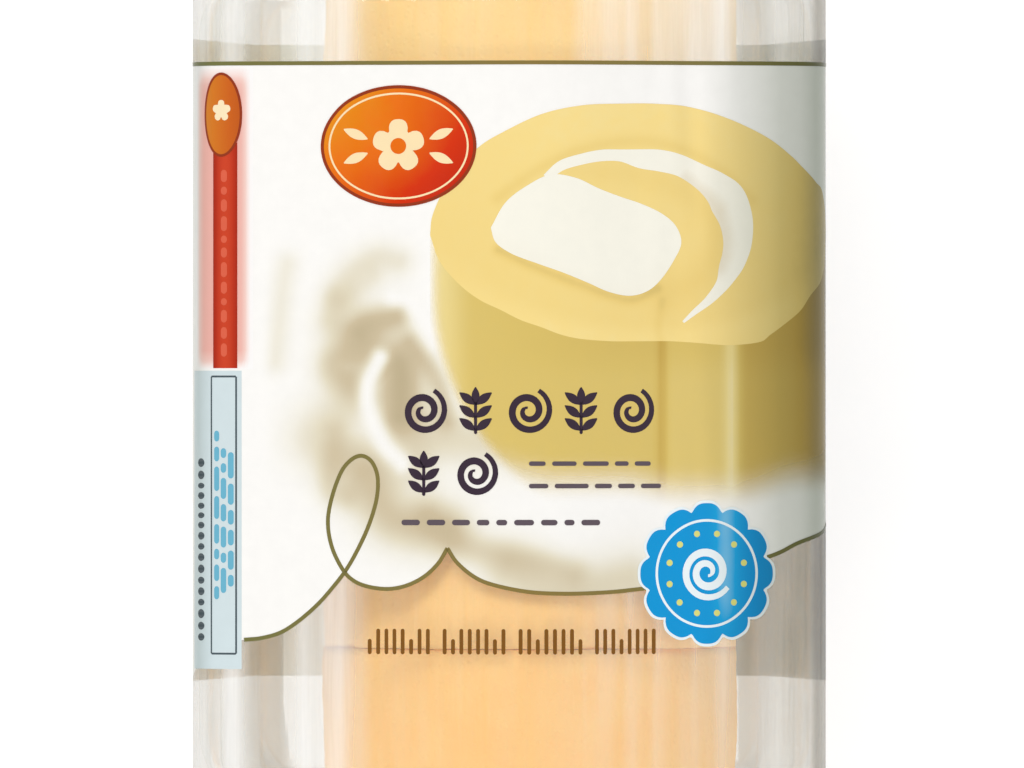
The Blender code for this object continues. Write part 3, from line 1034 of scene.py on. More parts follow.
# %% Bar, blob, brush and rows of bars
def bar(start, stop, width):
    """(u, y) of a straight bar with round ends: its width is that of a half round near each end."""
    start, stop = np.array(start, float), np.array(stop, float)
    length = np.linalg.norm(stop - start)
    radius = 0.5 * min(width, length)
    turn = np.linspace(0.0, 0.5 * math.pi, 5)
    near = radius * (1.0 - np.cos(turn))
    middle = np.linspace(radius, length - radius, max(2, int(length / 0.6)))[1:-1]
    along = np.concatenate([near, middle, length - near[::-1]])
    span = np.interp(along, near, np.sin(turn)) * np.interp(length - along, near, np.sin(turn))
    path = start + (stop - start) * (along / length)[:, None]
    return ribbon(path, width * span)


def blob(centre, half, *points):
    """(u, y) of a soft closed shape: an oval pushed out, angle by angle, to a path through the points."""
    path = (smooth_path(*points, points[0]) - centre) / half
    angle, radius = np.arctan2(path[:, 1], path[:, 0]), np.hypot(path[:, 0], path[:, 1])
    return disc(centre, half, lambda turn: np.interp(turn, angle, radius, period=TURN))


def brush(u, y, width, *points):
    """Softness of a stroke through the points: e to the minus (distance to it over width) squared."""
    path = smooth_path(*points)
    gap_u, gap_y = np.asarray(u)[..., None] - path[:, 0], np.asarray(y)[..., None] - path[:, 1]
    return np.exp(-(gap_u**2 + gap_y**2).min(axis=-1) / width**2)


def bar_row(start, stop, height, seed, word=(2.2, 5.6), gap=1.0, turned=False):
    """Bars of random length, one after another, that stand in for a line of small type."""
    chance = np.random.default_rng(seed)
    bars, at = [], start[0]
    while stop - at > word[0]:
        end = min(stop, at + chance.uniform(*word))
        ends = ((at, start[1]), (end, start[1]))
        bars.append(bar(*(tuple(place[::-1]) for place in ends), height) if turned else bar(*ends, height))
        at = end + gap
    return bars


# %% [markdown]
# ## Fields and rules
# A white field covers the front down to a drawn flourish, and the walls and the back have a white
# field of their own. The flourish is one line with a loop and a cusp, and the lower edge of the
# field follows the same path, so ink and line cannot part.

# %% White fields
LEFT_EDGE, RIGHT_EDGE = -CROWN_S, RIGHT_CREASE - CROWN_S
FIELD_GAP = 0.05
RULE_Y = 46.4
SIDE_PRINT_HALF = 50.4
PANEL_EDGE = -46.9
CROSSING_U, CUSP = -30.3, (-13.6, -29.4)
flourish_loop = smooth_path(
    (LEFT_EDGE, -50.4), (-54.2, -46.8), (-51.0, -44.7), (-47.2, -43.9), (-43.8, -43.55), (-40.7, -42.7),
    (-38.0, -41.1), (-35.3, -38.9), (-32.9, -36.5), (-30.2, -33.2), (-28.2, -29.9), (-26.4, -26.0),
    (-25.1, -21.8), (-24.9, -18.4), (-25.8, -16.0), (-27.4, -15.0), (-29.1, -15.6), (-30.8, -17.6),
    (-32.3, -21.6), (-32.9, -25.5), (-32.2, -29.4), (-30.4, -32.9), (-28.6, -34.6), (-26.2, -35.5),
    (-23.2, -35.8), (-20.3, -35.3), (-17.4, -33.9), (-15.1, -31.8), CUSP,
)
flourish_tail = smooth_path(
    CUSP, (-12.1, -31.6), (-9.4, -33.8), (-6.3, -35.1), (-0.8, -36.2), (4.5, -36.5), (9.8, -36.4),
    (15.4, -36.0), (24.0, -34.8), (38.5, -30.9), (44.4, -28.6), (51.8, -26.9), (RIGHT_EDGE, -25.5),
)
top_of_loop = int(np.argmax(flourish_loop[:, 1]))
before, after = flourish_loop[:top_of_loop], flourish_loop[top_of_loop:]
field_edge = np.concatenate([
    before[before[:, 0] < CROSSING_U][: np.argmax(before[:, 0] >= CROSSING_U)],
    after[(after[:, 0] > CROSSING_U) & (after[:, 1] < CUSP[1])],
    flourish_tail,
])


def down_to_field_edge(columns, top, rows):
    """(u, y) of a patch that hangs from a level top down to the field's lower edge."""
    low = np.interp(columns, field_edge[:, 0], field_edge[:, 1])
    return columns, low + (top - low) * np.linspace(0.0, 1.0, rows)[:, None]


white_ink = ink_material("white_ink", (251, 249, 245), grain=0.004, lets=0.75)
# The inside of the print is pale on the left half and darker on the right: painted shade.
ink_inside = ink_material("ink_inside", (248, 255, 255), (176, 196, 200), lets=0.75)
back_middle = 0.5 * (BASE_START + BASE_END) - CROWN_S


def right_half_shade(u, y):
    """0 on the left half of the pack and 1 on the right half; it fades slowly across the back.

    On the inside of the print it darkens the right half as painted shade.
    """
    return ease(u, -5.0, 25.0) * ease(-u, -back_middle - 5.0, 65.0 - back_middle)


field = down_to_field_edge(np.linspace(LEFT_EDGE, RIGHT_EDGE, 232), RULE_Y, 70)
print_ink("white_front", field, 1, white_ink, right_half_shade, inside=ink_inside)
round_back = np.linspace(RIGHT_EDGE + FIELD_GAP, GIRTH + LEFT_EDGE - FIELD_GAP, 460)
side_rows = np.linspace(-SIDE_PRINT_HALF, SIDE_PRINT_HALF, 70)[:, None]
print_ink("white_back", (round_back, side_rows), 1, white_ink, right_half_shade, inside=ink_inside)

# %% Rule and flourish
RULE_WIDTH = 0.62
rule_ink = ink_material("rule_ink", (160, 124, 64), (112, 114, 66))
rule = even_steps(np.array([(LEFT_EDGE, RULE_Y), (RIGHT_EDGE, RULE_Y)]))
drawn_loop = flourish_loop[flourish_loop[:, 0] > PANEL_EDGE]
lines = [ribbon(path, RULE_WIDTH) for path in (rule, drawn_loop, flourish_tail)]
print_ink("rule_and_flourish", lines, 4, rule_ink, blend=lambda u, y: 0.5 + 0.5 * np.abs(u) / RIGHT_EDGE)
print("flourish is", round((len(flourish_loop) + len(flourish_tail)) * PATH_STEP), "mm long")

# %% [markdown]
# ## The picture of a slice
# The front shows a slice lying on its side: a roundish face of sponge with a pool of cream and a
# curl of it, over a wall that fades into the white. Each is one simple shape in its own coat, and
# the shading comes from a value per point that runs through a ramp of swatches. The bright upright
# streak on the wall, and the like one on the blue seal, are painted highlights where the film
# would glint.

# %% The wall of the pictured slice
FACE_CENTRE = np.array([18.5, 21.2])
FACE_HALF = np.array([35.5, 18.8])
# The face's outline runs along its low side to the right, and back over its high side.
FACE_LOW = (
    (-16.4, 19.5), (-14.8, 15.3), (-11.6, 11.7), (-8.4, 9.35), (-5.1, 7.8), (-1.9, 6.2), (1.3, 5.1),
    (4.5, 3.9), (7.7, 3.25), (12.5, 2.9), (17.5, 2.9), (22.5, 2.9), (27.4, 2.6), (32.4, 2.3),
    (37.3, 2.8), (39.0, 3.9), (41.8, 5.8), (44.7, 7.8), (47.1, 10.2), (51.3, 13.3), (54.3, 20.0),
)
FACE_HIGH = (
    (51.3, 26.2), (48.6, 27.9), (45.2, 30.1), (42.8, 31.9), (38.2, 35.0), (32.1, 37.7), (25.8, 39.5),
    (20.0, 40.0), (14.2, 40.0), (7.7, 39.7), (1.3, 38.3), (-5.1, 35.3), (-8.4, 33.3), (-11.6, 30.3),
    (-14.0, 26.9), (-16.0, 22.6),
)
WALL_FOOT = -25.0
WALL_LAP = 0.8
# The seam belongs to the picture; the streak is a painted highlight where the film would glint.
WALL_SEAM, WALL_HIGHLIGHT = 21.0, 32.5

wall_ink = ink_material(
    "pictured_wall",
    (250, 240, 208), (236, 215, 144), (218, 191, 106), (198, 164, 78), (126, 104, 46),
    grain=0.01, lets=1.0, thins=True,
)
wall_top = smooth_path(*FACE_LOW, spacing=0.7) + (0.0, WALL_LAP)
wall_drop = np.linspace(1.0, 0.0, 56)[:, None]


def wall_blend(u, y):
    """Golden, with a darker seam and a bright streak, paler at its left edge and deeper at the right.

    The bright streak is a painted highlight where the film would glint.
    """
    tone = 0.48 + 0.07 * ease(u, -14.0, 20.0) * ease(y, -4.0, 3.0) - 0.24 * ease(-u, 9.0, 15.5)
    tone = tone + 0.20 * np.exp(-(((u - WALL_SEAM) / 0.8) ** 2)) - 0.04 * ease(u, WALL_SEAM, 22.5)
    tone = tone - 0.26 * np.exp(-(((u - WALL_HIGHLIGHT) / 1.1) ** 2))
    return tone + 0.19 * ease(u, WALL_HIGHLIGHT, 35.5) + 0.16 * ease(u, 40.0, 49.0)


def wall_cover(u, y):
    """Full under the face; it leans in at the left, ends at the shoulder and thins out at the foot."""
    left = FACE_LOW[0][0] + 0.1 + 0.016 * np.maximum(10.0 - y, 0.0) ** 2
    lower = 3.5 * ease(u, -10.0, 4.0) + 1.5 * ease(u, 14.0, 24.0) - 2.3 * ease(u, 34.0, 44.0)
    sides = ease(u - left, -0.8, 2.6) * ease(FACE_LOW[-1][0] - u, 0.0, 1.5)
    return sides * ease(y, -19.0 - lower, -9.5 - lower)


wall = (wall_top[:, 0], WALL_FOOT + (wall_top[:, 1] - WALL_FOOT) * wall_drop)
print_ink("pictured_slice_wall", wall, 3, wall_ink, blend=wall_blend, cover=wall_cover)

# %% Its face
# Each stroke of shade is its depth, its width and the points that it runs through.
FACE_STROKES = (
    (0.12, 2.6, ((6.5, 29.6), (16.0, 29.2), (25.0, 26.4), (30.0, 21.0), (28.5, 14.0), (21.0, 9.6))),
    (0.26, 0.9, ((-5.4, 17.2), (0.6, 14.4), (8.6, 11.4), (15.6, 9.4), (20.2, 11.2))),
    (0.16, 1.0, (
        (-5.5, 25.2), (-2.0, 27.8), (2.4, 30.5), (8.0, 32.9), (16.4, 34.2), (24.0, 33.0), (30.5, 29.8),
        (36.0, 25.0),
    )),
    (0.12, 0.8, ((21.0, 9.2), (20.4, 5.0), (20.9, 2.6))),
)


def face_blend(u, y):
    """Pale at the top, light along the low rim, olive at the right and duller at the left.

    Strokes of shade lie in the tongue of sponge inside the curl, under the pool, over the curl
    and down a crease at the curl's foot.
    """
    across, up = (u - FACE_CENTRE[0]) / FACE_HALF[0], (y - FACE_CENTRE[1]) / FACE_HALF[1]
    tone = 0.30 + 0.05 * across - 0.08 * up + 0.46 * ease(u, 38.0, 51.0)
    tone = tone - 0.13 * ease(np.hypot(across, up), 0.80, 0.97) * ease(-up, 0.1, 0.8)
    tone = tone + 0.10 * ease(-across, 0.3, 0.9)
    return tone + sum(depth * brush(u, y, width, *points) for depth, width, points in FACE_STROKES)


face_ink = ink_material(
    "pictured_face",
    (253, 234, 168), (247, 220, 142), (238, 208, 126), (214, 187, 110), (154, 139, 82),
    grain=0.05,
)
face = blob(FACE_CENTRE, FACE_HALF, *FACE_LOW, *FACE_HIGH)
print_ink("pictured_slice_face", face, 4, face_ink, blend=face_blend)

# %% Its curl and its pool of cream
cream_ink = ink_material("pictured_cream", (249, 246, 232), (247, 243, 228), (226, 214, 188), grain=0.08)
# Each point of the curl is a place and the curl's width there.
curl = smooth_path(
    (2.1, 28.4, 1.2), (4.5, 30.3, 1.6), (7.7, 31.3, 1.7), (11.0, 31.9, 1.8), (14.2, 31.9, 1.9),
    (17.5, 31.4, 3.0), (20.8, 31.1, 3.4), (24.2, 30.3, 3.4), (27.4, 28.7, 3.8), (30.0, 27.0, 5.0),
    (31.9, 25.0, 6.2), (33.3, 21.9, 5.6), (33.6, 18.7, 4.8), (33.1, 16.2, 4.2), (32.2, 14.1, 3.6),
    (31.0, 11.7, 2.2), (28.8, 9.3, 1.4), (26.4, 7.5, 0.9), (24.5, 5.9, 0.4),
)
CURL_INSIDE = ((25.0, 28.2), (29.6, 24.2), (30.8, 21.5), (31.4, 18.8), (30.9, 16.4), (30.4, 14.6))


def curl_blend(u, y):
    """Whiter at its thin upper end, with a shaded inner side where it turns down."""
    return 0.2 + 0.25 * ease(u, 18.0, 32.0) + 0.4 * brush(u, y, 1.7, *CURL_INSIDE)


print_ink("pictured_curl", ribbon(curl[:, :2], curl[:, 2], 9), 5, cream_ink, blend=curl_blend)
POOL_CENTRE, POOL_HALF = np.array([9.0, 19.4]), np.array([15.4, 9.4])
pool = blob(
    POOL_CENTRE, POOL_HALF,
    (-6.6, 20.6), (-5.8, 18.3), (-3.2, 16.5), (0.8, 15.0), (4.8, 13.6), (8.8, 12.0), (12.2, 10.6),
    (15.7, 10.0), (18.7, 10.8), (21.0, 12.8), (23.0, 15.6), (24.2, 18.3), (23.3, 20.9), (21.0, 22.8),
    (17.5, 24.4), (14.0, 25.5), (10.4, 26.8), (6.8, 28.4), (2.8, 28.9), (-1.0, 27.1), (-4.3, 24.5),
)


def pool_blend(u, y):
    """Ivory along the low edge, white above."""
    return 0.10 + 0.35 * brush(u, y, 1.8, (-5.0, 18.0), (8.0, 11.8), (15.0, 9.8), (21.0, 13.0))


print_ink("pictured_pool", pool, 6, cream_ink, blend=pool_blend)

# %% [markdown]
# ## Milk, flower seal and blue seal
# To the left of the slice a swirl of milk fades into the white, and a wave of it runs on under the
# slice. It is one patch of soft brush strokes. Above sits a warm oval seal with a flower, and a
# blue scalloped seal overlaps the flourish.

# %% Swirl and wave of milk
MILK_TOP, MILK_LEFT, MILK_RIGHT = 28.0, -44.7, 25.0
milk_ink = ink_material(
    "pictured_milk",
    (251, 249, 245), (242, 238, 226), (226, 217, 192), (206, 190, 158), (190, 174, 140),
    grain=0.006,
)
# Each stroke is its depth, its width and the points that it runs through.
MILK_STROKES = (
    (0.42, 5.0, ((-29.2, 2.7), (-30.3, -6.4), (-35.2, -12.1), (-30.8, -14.6))),
    (0.38, 2.7, ((-32.5, 6.4), (-29.9, 12.8), (-25.2, 16.0), (-21.5, 15.4))),
    (0.77, 2.8, ((-27.8, 4.6), (-26.4, 5.6), (-22.0, 6.7))),
    (0.52, 3.0, ((-26.8, 2.5), (-32.0, -0.8), (-27.5, -5.3))),
    (0.98, 4.2, ((-23.8, -0.9), (-21.4, -1.3), (-21.0, -8.8))),
    (0.59, 1.9, ((-19.6, 2.7), (-15.2, -3.4), (-13.8, -9.5))),
    (0.50, 5.0, ((-18.7, -15.2), (-15.0, -12.6), (-3.5, -12.8))),
    (0.44, 2.5, ((-31.7, -11.6), (-32.5, -19.9), (-30.0, -21.3))),
    (0.71, 5.0, ((-26.5, -17.7), (-22.6, -24.4), (-13.9, -26.7))),
    (0.30, 2.4, ((-31.8, 9.7), (-29.9, 9.7), (-25.5, 12.8))),
    (0.30, 2.1, ((-39.5, 14.9), (-40.2, 11.1), (-41.4, -0.3))),
    (0.45, 2.6, ((-16.6, -24.3), (-10.6, -29.0), (0.5, -31.5), (6.4, -33.2))),
    (0.54, 5.0, ((-3.6, -32.8), (4.4, -36.4), (15.6, -34.4))),
)
MILK_LIGHTS = (
    (0.96, 1.5, ((-24.5, 0.3), (-26.4, -3.8), (-26.3, -7.9), (-24.0, -13.0), (-20.9, -16.2))),
    (0.98, 1.3, ((-22.5, 9.8), (-19.4, 8.9), (-15.4, 2.9))),
)


def milk_blend(u, y):
    """Strokes of dusk laid over each other, less the brightest of the light strokes.

    Laid over each other means 1 less the product of what each leaves. It fades to nothing at the
    sides and the top.
    """
    left = 1.0
    for depth, width, points in MILK_STROKES:
        left = left * (1.0 - depth * brush(u, y, width, *points))
    light = np.maximum(*(depth * brush(u, y, width, *points) for depth, width, points in MILK_LIGHTS))
    sides = ease(u, MILK_LEFT, MILK_LEFT + 3.0) * ease(-u, -MILK_RIGHT, 8.0 - MILK_RIGHT)
    return (1.0 - left) * (1.0 - light) * sides * ease(-y, -MILK_TOP, 8.0 - MILK_TOP)


milk_patch = down_to_field_edge(np.linspace(MILK_LEFT, MILK_RIGHT, 120), MILK_TOP, 96)
print_ink("pictured_milk", milk_patch, 2, milk_ink, blend=milk_blend)

# %% Flower seal
FLOWER_SEAL = (-21.5, 33.4)
SEAL_HALF = (12.6, 9.5)
warm_stops = ((232, 160, 24), (234, 112, 10), (214, 50, 2), (182, 26, 10))
warm_ink = ink_material("seal_warm", *warm_stops, grain=0.03)
maroon_ink = ink_material("seal_maroon", (148, 54, 22), (120, 36, 20))
pale_ink = ink_material("seal_pale", (252, 232, 190), (250, 214, 150), grain=0.03)


def warm_blend(u, y):
    """Orange at the upper left, red at the right and below."""
    across, up = (u - FLOWER_SEAL[0]) / SEAL_HALF[0], (y - FLOWER_SEAL[1]) / SEAL_HALF[1]
    return 0.50 + 0.30 * across - 0.20 * up - 0.12 * np.exp(-3.0 * (across**2 + up**2))


def oval_ring(centre, half, width, count=90):
    """(u, y) of a thin oval ring, its first row on its last."""
    turn = np.linspace(0.0, TURN, count)
    path = np.array(centre) + np.array(half) * np.stack([np.cos(turn), np.sin(turn)], axis=1)
    return ribbon(path, width)


def petals(count, depth):
    """Outline of a flower: 1 at each petal's tip and less by depth between petals.

    The dip goes as (1 less the size of the cosine of half count times the angle) to the 1.6th.
    """
    return lambda angle: 1.0 - depth * (1.0 - np.abs(np.cos(0.5 * count * (angle - 0.5 * math.pi)))) ** 1.6


def leaf(base, tip, width):
    """(u, y) of a leaf: a straight path whose width is a sine."""
    path = even_steps(np.array([base, tip], float), 0.3)
    return ribbon(path, width * np.sin(math.pi * np.linspace(0.03, 0.97, len(path))))


print_ink("flower_seal", disc(FLOWER_SEAL, SEAL_HALF), 5, warm_ink, blend=warm_blend)
print_ink("flower_seal_rim", oval_ring(FLOWER_SEAL, (12.35, 9.25), 0.5), 6, maroon_ink)
side_leaves = [
    leaf(
        (FLOWER_SEAL[0] + side * 5.0, FLOWER_SEAL[1] + rise),
        (FLOWER_SEAL[0] + side * 8.8, FLOWER_SEAL[1] + 2.4 * rise),
        1.5,
    )
    for side in (-1, 1) for rise in (-1.1, 1.1)
]
five_petals = petals(5, 0.46)
flower = disc(FLOWER_SEAL, (4.2, 4.2), five_petals)
ring = oval_ring(FLOWER_SEAL, (11.2, 8.2), 0.3)
print_ink("flower_motif", [flower, ring, *side_leaves], 6, pale_ink, blend=lambda u, y: 0.3)
print_ink("flower_heart", disc(FLOWER_SEAL, (1.25, 1.25)), 7, warm_ink, blend=lambda u, y: 0.35)

# %% Blue seal
BLUE_SEAL = (28.45, -33.4)
BLUE_RADIUS, BLUE_EDGE = 11.0, 0.45
LOBES = 12
RING_RADIUS, DOT_RADIUS = 8.3, 6.4
blue_stops = ((132, 198, 232), (20, 164, 224), (0, 146, 212), (0, 112, 160))
blue_ink = ink_material("seal_blue", *blue_stops, grain=0.03)
seal_white = ink_material("seal_white", (238, 247, 250), (225, 240, 246))
yellow_ink = ink_material("seal_yellow", (222, 222, 128), (205, 210, 110))


def blue_blend(u, y):
    """A soft upright shine right of the middle, a painted highlight, and deeper towards the right rim."""
    shine = np.exp(-(((u - 31.6) / 2.0) ** 2)) * ease(y, -46.0, -36.0)
    return 0.58 - 0.46 * shine + 0.12 * ease(u, 33.0, 38.0)


def spiral(centre, radius, turns, width, start=0.0):
    """(u, y) of a curl: a ribbon whose distance from the centre shrinks evenly with the turn.

    Its width swells in the middle by the root of a sine.
    """
    turn = np.linspace(0.0, turns * TURN, int(36 * turns))
    reach = radius * (1.0 - 0.86 * turn / turn[-1])
    path = np.array(centre) + (reach * np.stack([np.cos(start - turn), np.sin(start - turn)])).T
    share = np.linspace(0.0, 1.0, len(path))
    return ribbon(path, width * (0.35 + 0.65 * np.sin(math.pi * np.clip(share + 0.06, 0.0, 1.0)) ** 0.5))


seal_rim = disc(BLUE_SEAL, (BLUE_RADIUS + BLUE_EDGE,) * 2, petals(LOBES, 0.11))
seal_face = disc(BLUE_SEAL, (BLUE_RADIUS,) * 2, petals(LOBES, 0.12))
seal_ring = oval_ring(BLUE_SEAL, (RING_RADIUS, RING_RADIUS), 0.4)
seal_curl = spiral((BLUE_SEAL[0], BLUE_SEAL[1] + 0.2), 4.2, 2.1, 1.25, -0.6)
dot_turns = np.arange(LOBES) * TURN / LOBES + 0.26
dot_places = np.array(BLUE_SEAL) + DOT_RADIUS * np.stack([np.cos(dot_turns), np.sin(dot_turns)], axis=1)
seal_dots = [disc(place, (0.5, 0.5)) for place in dot_places]
print_ink("blue_seal_edge", seal_rim, 5, seal_white)
print_ink("blue_seal", seal_face, 6, blue_ink, blend=blue_blend)
print_ink("blue_seal_motif", [seal_ring, seal_curl], 7, seal_white)
print_ink("blue_seal_dots", seal_dots, 7, yellow_ink)

# %% [markdown]
# ## Ornaments and stand-ins for type
# A pack like this carries a name and small print. Ours carries none, so curls and sprigs in dark
# ink hold the place of the name, thin bars that of the small type, and a row of ticks that of the
# weight line on the clear film below.

# %% Curls and sprigs
plum_ink = ink_material("plum_ink", (58, 44, 58), (48, 36, 50))
grey_plum_ink = ink_material("grey_plum_ink", (96, 84, 92), (84, 74, 82))
brown_ink = ink_material("brown_ink", (128, 84, 30), (112, 70, 24))


def sprig(centre, height):
    """A stem with three pairs of leaves and one at its tip."""
    u, y = centre
    stem = [bar((u, y - 0.5 * height), (u, y + 0.2 * height), 0.5)]
    pairs = [
        leaf(
            (u, y + (0.28 * row - 0.42) * height),
            (u + side * 0.36 * height, y + (0.28 * row - 0.16) * height),
            1.35,
        )
        for row in range(3) for side in (-1, 1)
    ]
    return stem + pairs + [leaf((u, y + 0.14 * height), (u, y + 0.52 * height), 1.3)]


def curl_mark(centre, height):
    """A rolled sheet seen end on."""
    return [spiral(centre, 0.5 * height, 1.9, 1.1, 0.35 * math.pi)]


MARK_LEFT, MARK_PITCH = -17.4, 8.35


def mark_row(marks, y, height):
    """Marks side by side at one pitch, all in one list."""
    return sum((mark((MARK_LEFT + MARK_PITCH * k, y), height) for k, mark in enumerate(marks)), [])


first_row = mark_row((curl_mark, sprig, curl_mark, sprig, curl_mark), -8.0, 7.2)
second_row = mark_row((sprig, curl_mark), -17.8, 6.9)
print_ink("ornament_rows", first_row + second_row, 5, plum_ink)

# %% Small bars and the row of ticks
TICK_FOOT, TICK_PITCH, TICK_WIDTH = -46.0, 1.35, 0.62
TALL_TICK, SHORT_TICK = 4.0, 2.4
small_type = bar_row((-0.6, -16.2), 20.6, 0.7, 11) + bar_row((-0.6, -19.7), 21.0, 0.7, 12)
small_type += bar_row((-21.0, -25.4), 11.6, 0.85, 13, (1.6, 3.2), 1.1)
print_ink("small_bars", small_type, 5, grey_plum_ink)
ticks = [
    bar((u, TICK_FOOT), (u, TICK_FOOT + (TALL_TICK if number % 5 else SHORT_TICK)), TICK_WIDTH)
    for number, u in enumerate(np.arange(-26.2, 20.5, TICK_PITCH)) if number % 9 != 8
]
print_ink("tick_row", ticks, 2, brown_ink)

# %% [markdown]
# ## The left shoulder
# Narrow panels run down the left shoulder: a small warm oval and a red bar in a pink glow, and
# under them a pale blue panel with a frame and turned rows of bars.

# %% Shoulder panels
small_oval_ink = ink_material("small_oval", (218, 132, 32), (205, 98, 22), (174, 72, 20))
glow_ink = ink_material("pink_glow", (252, 250, 248), (244, 208, 198), (238, 179, 167))
red_ink = ink_material("red_bar", (158, 38, 16), (186, 46, 16), (206, 66, 34))
light_red_ink = ink_material("red_bar_type", (222, 98, 70), (218, 90, 64))
sky_ink = ink_material("pale_panel", (212, 226, 229), (208, 221, 224))
cyan_ink = ink_material("cyan_bars", (108, 180, 206), (120, 187, 210))
slate_ink = ink_material("slate_bars", (78, 90, 96), (68, 80, 86))


def slab(low, high):
    """(u, y) of a rectangle from its low corner to its high one."""
    columns = np.linspace(low[0], high[0], max(3, int((high[0] - low[0]) / FINE) + 2))
    rows = np.linspace(low[1], high[1], max(3, int((high[1] - low[1]) / 1.5) + 2))[:, None]
    return columns, rows


def frame_lines(low, high, width):
    """Four bars round a rectangle."""
    corners = [low, (high[0], low[1]), high, (low[0], high[1])]
    return [bar(a, b, width) for a, b in zip(corners, corners[1:] + corners[:1])]


def glow_blend(u, y):
    """Full behind the red bar, fading at the glow's own edge."""
    return ease(u, -57.0, -54.0) * ease(-u, 45.2, 47.4) * ease(y, -1.5, 1.0) * ease(-y, -46.2, -42.0)


def bar_blend(u, y):
    """Brightest down the middle of the red bar, and darker by the square of the distance from it."""
    return 1.0 - 0.21 * (u + 49.7) ** 2


# %% Warm oval, red bar and pale panel
SMALL_OVAL, SMALL_HALF, SMALL_RIM = (-50.4, 38.4), (3.6, 6.6), (3.4, 6.4)
TYPE_WORDS, PANEL_WORDS, DOT_WORDS = (1.0, 2.4), (1.4, 4.2), (0.9, 1.5)
small_oval = disc(SMALL_OVAL, SMALL_HALF)
small_flower = disc((-50.4, 39.0), (1.7, 1.7), five_petals)
bar_type = bar_row((0.5, -49.9), 30.0, 1.1, 21, TYPE_WORDS, 0.7, turned=True)
print_ink("shoulder_glow", slab((-57.2, -1.5), (-45.0, 46.0)), 2, glow_ink, blend=glow_blend)
print_ink("shoulder_bar", slab((-52.0, -1.3), (-47.6, 34.0)), 3, red_ink, blend=bar_blend)
print_ink("shoulder_oval", small_oval, 4, small_oval_ink, blend=lambda u, y: 0.4 + 0.1 * (u + 50.0))
print_ink("shoulder_oval_rim", oval_ring(SMALL_OVAL, SMALL_RIM, 0.4), 5, maroon_ink)
print_ink("shoulder_flower", small_flower, 5, pale_ink)
print_ink("shoulder_bar_type", bar_type, 4, light_red_ink)
panel = slab((-58.0, -48.4), (PANEL_EDGE, -1.7))
print_ink("shoulder_panel", panel, 2, sky_ink, blend=lambda u, y: 0.5 + 0.01 * y)
print_ink("shoulder_frame", frame_lines((-52.4, -46.0), (-47.8, -2.6), 0.3), 3, slate_ink)
cyan_rows = sum((
    bar_row((-37.5 + number, u), -10.0 - 2.0 * number, 1.0, 30 + number, PANEL_WORDS, 0.8, turned=True)
    for number, u in enumerate((-51.3, -50.0, -48.7))
), [])
print_ink("shoulder_cyan", cyan_rows, 3, cyan_ink)
slate_dots = bar_row((-44.0, -55.1), -15.0, 2.0, 33, DOT_WORDS, 0.55, turned=True)
print_ink("shoulder_slate", slate_dots, 3, slate_ink)

# %% [markdown]
# ## Side walls and back
# The walls and the back of such a pack carry small print in framed blocks. Ours are rows of bars
# in frames, laid along the pack, with a warm band on one wall and a row of sprigs on the other.
# The folded seal runs down the middle of the back, so its blocks stand to either side of it.

# %% Framed blocks of bars
BLOCK_MARGIN = 3.0
BLOCK_END = 44.0
BLOCK_TYPE = 0.8
band_ink = ink_material("warm_band", (246, 224, 160), (240, 206, 132))


def type_block(low, high, pitch, seed):
    """A frame with rows of bars along the pack, of which two in five end early."""
    chance = np.random.default_rng(seed)
    places = np.arange(low[0] + pitch, high[0] - 0.5 * pitch, pitch)
    short = chance.uniform(0.0, 0.3, len(places)) * (high[1] - low[1]) * (chance.random(len(places)) < 0.4)
    rows = [
        bar_row((low[1] + BLOCK_MARGIN, place), stop, BLOCK_TYPE, seed + number, turned=True)
        for number, (place, stop) in enumerate(zip(places, high[1] - BLOCK_MARGIN - short))
    ]
    return frame_lines(low, high, 0.3) + sum(rows, [])


right_wall = ARCS[[2, 3], [1, 0]] - CROWN_S
left_wall = ARCS[[4, 5], [1, 0]] - CROWN_S
back = np.array([BASE_START, BASE_END]) - CROWN_S
seal_side = 0.5 * (back[1] - back[0]) - CHANNEL_HALF_WIDTH
blocks = [
    type_block((right_wall[0] + 10.0, -BLOCK_END), (right_wall[1] - 4.0, 14.0), 2.6, 50),
    type_block((left_wall[0] + 5.0, -10.0), (left_wall[1] - 6.0, BLOCK_END), 2.6, 70),
    type_block((back[0] + 2.0, -BLOCK_END), (back[0] + seal_side - 3.0, BLOCK_END), 2.4, 90),
    type_block((back[1] - seal_side + 3.0, -BLOCK_END), (back[1] - 2.0, 20.0), 2.4, 110),
]
print_ink("wall_and_back_type", sum(blocks, []), 2, grey_plum_ink)
print("wall and back carry", sum(len(block) for block in blocks), "bars")

# %% Sprigs on one wall, a warm band with flowers on the other
wall_middle = 0.5 * (right_wall[0] + right_wall[1]) + 3.0
wall_sprigs = sum((sprig((wall_middle, y), 8.4) for y in (22.0, 32.0, 42.0)), [])
print_ink("wall_sprigs", wall_sprigs, 2, rule_ink)
warm_band = slab((left_wall[0] + 5.0, -BLOCK_END), (left_wall[1] - 6.0, -14.0))
print_ink("wall_band", warm_band, 2, band_ink, blend=lambda u, y: 0.5 + 0.5 * np.sin(0.2 * y))
left_middle = 0.5 * (left_wall[0] + left_wall[1]) - 0.5
wall_flowers = [disc((left_middle, y), (4.4, 4.4), five_petals) for y in (-37.0, -29.0, -21.0)]
print_ink("wall_flowers", wall_flowers, 3, warm_ink)

# %% [markdown]
# ## Camera, floor and light
# The photograph looks straight down on the front of the pack through a long lens, and crops both
# ends. A far camera with a small angle gives the same flat look.

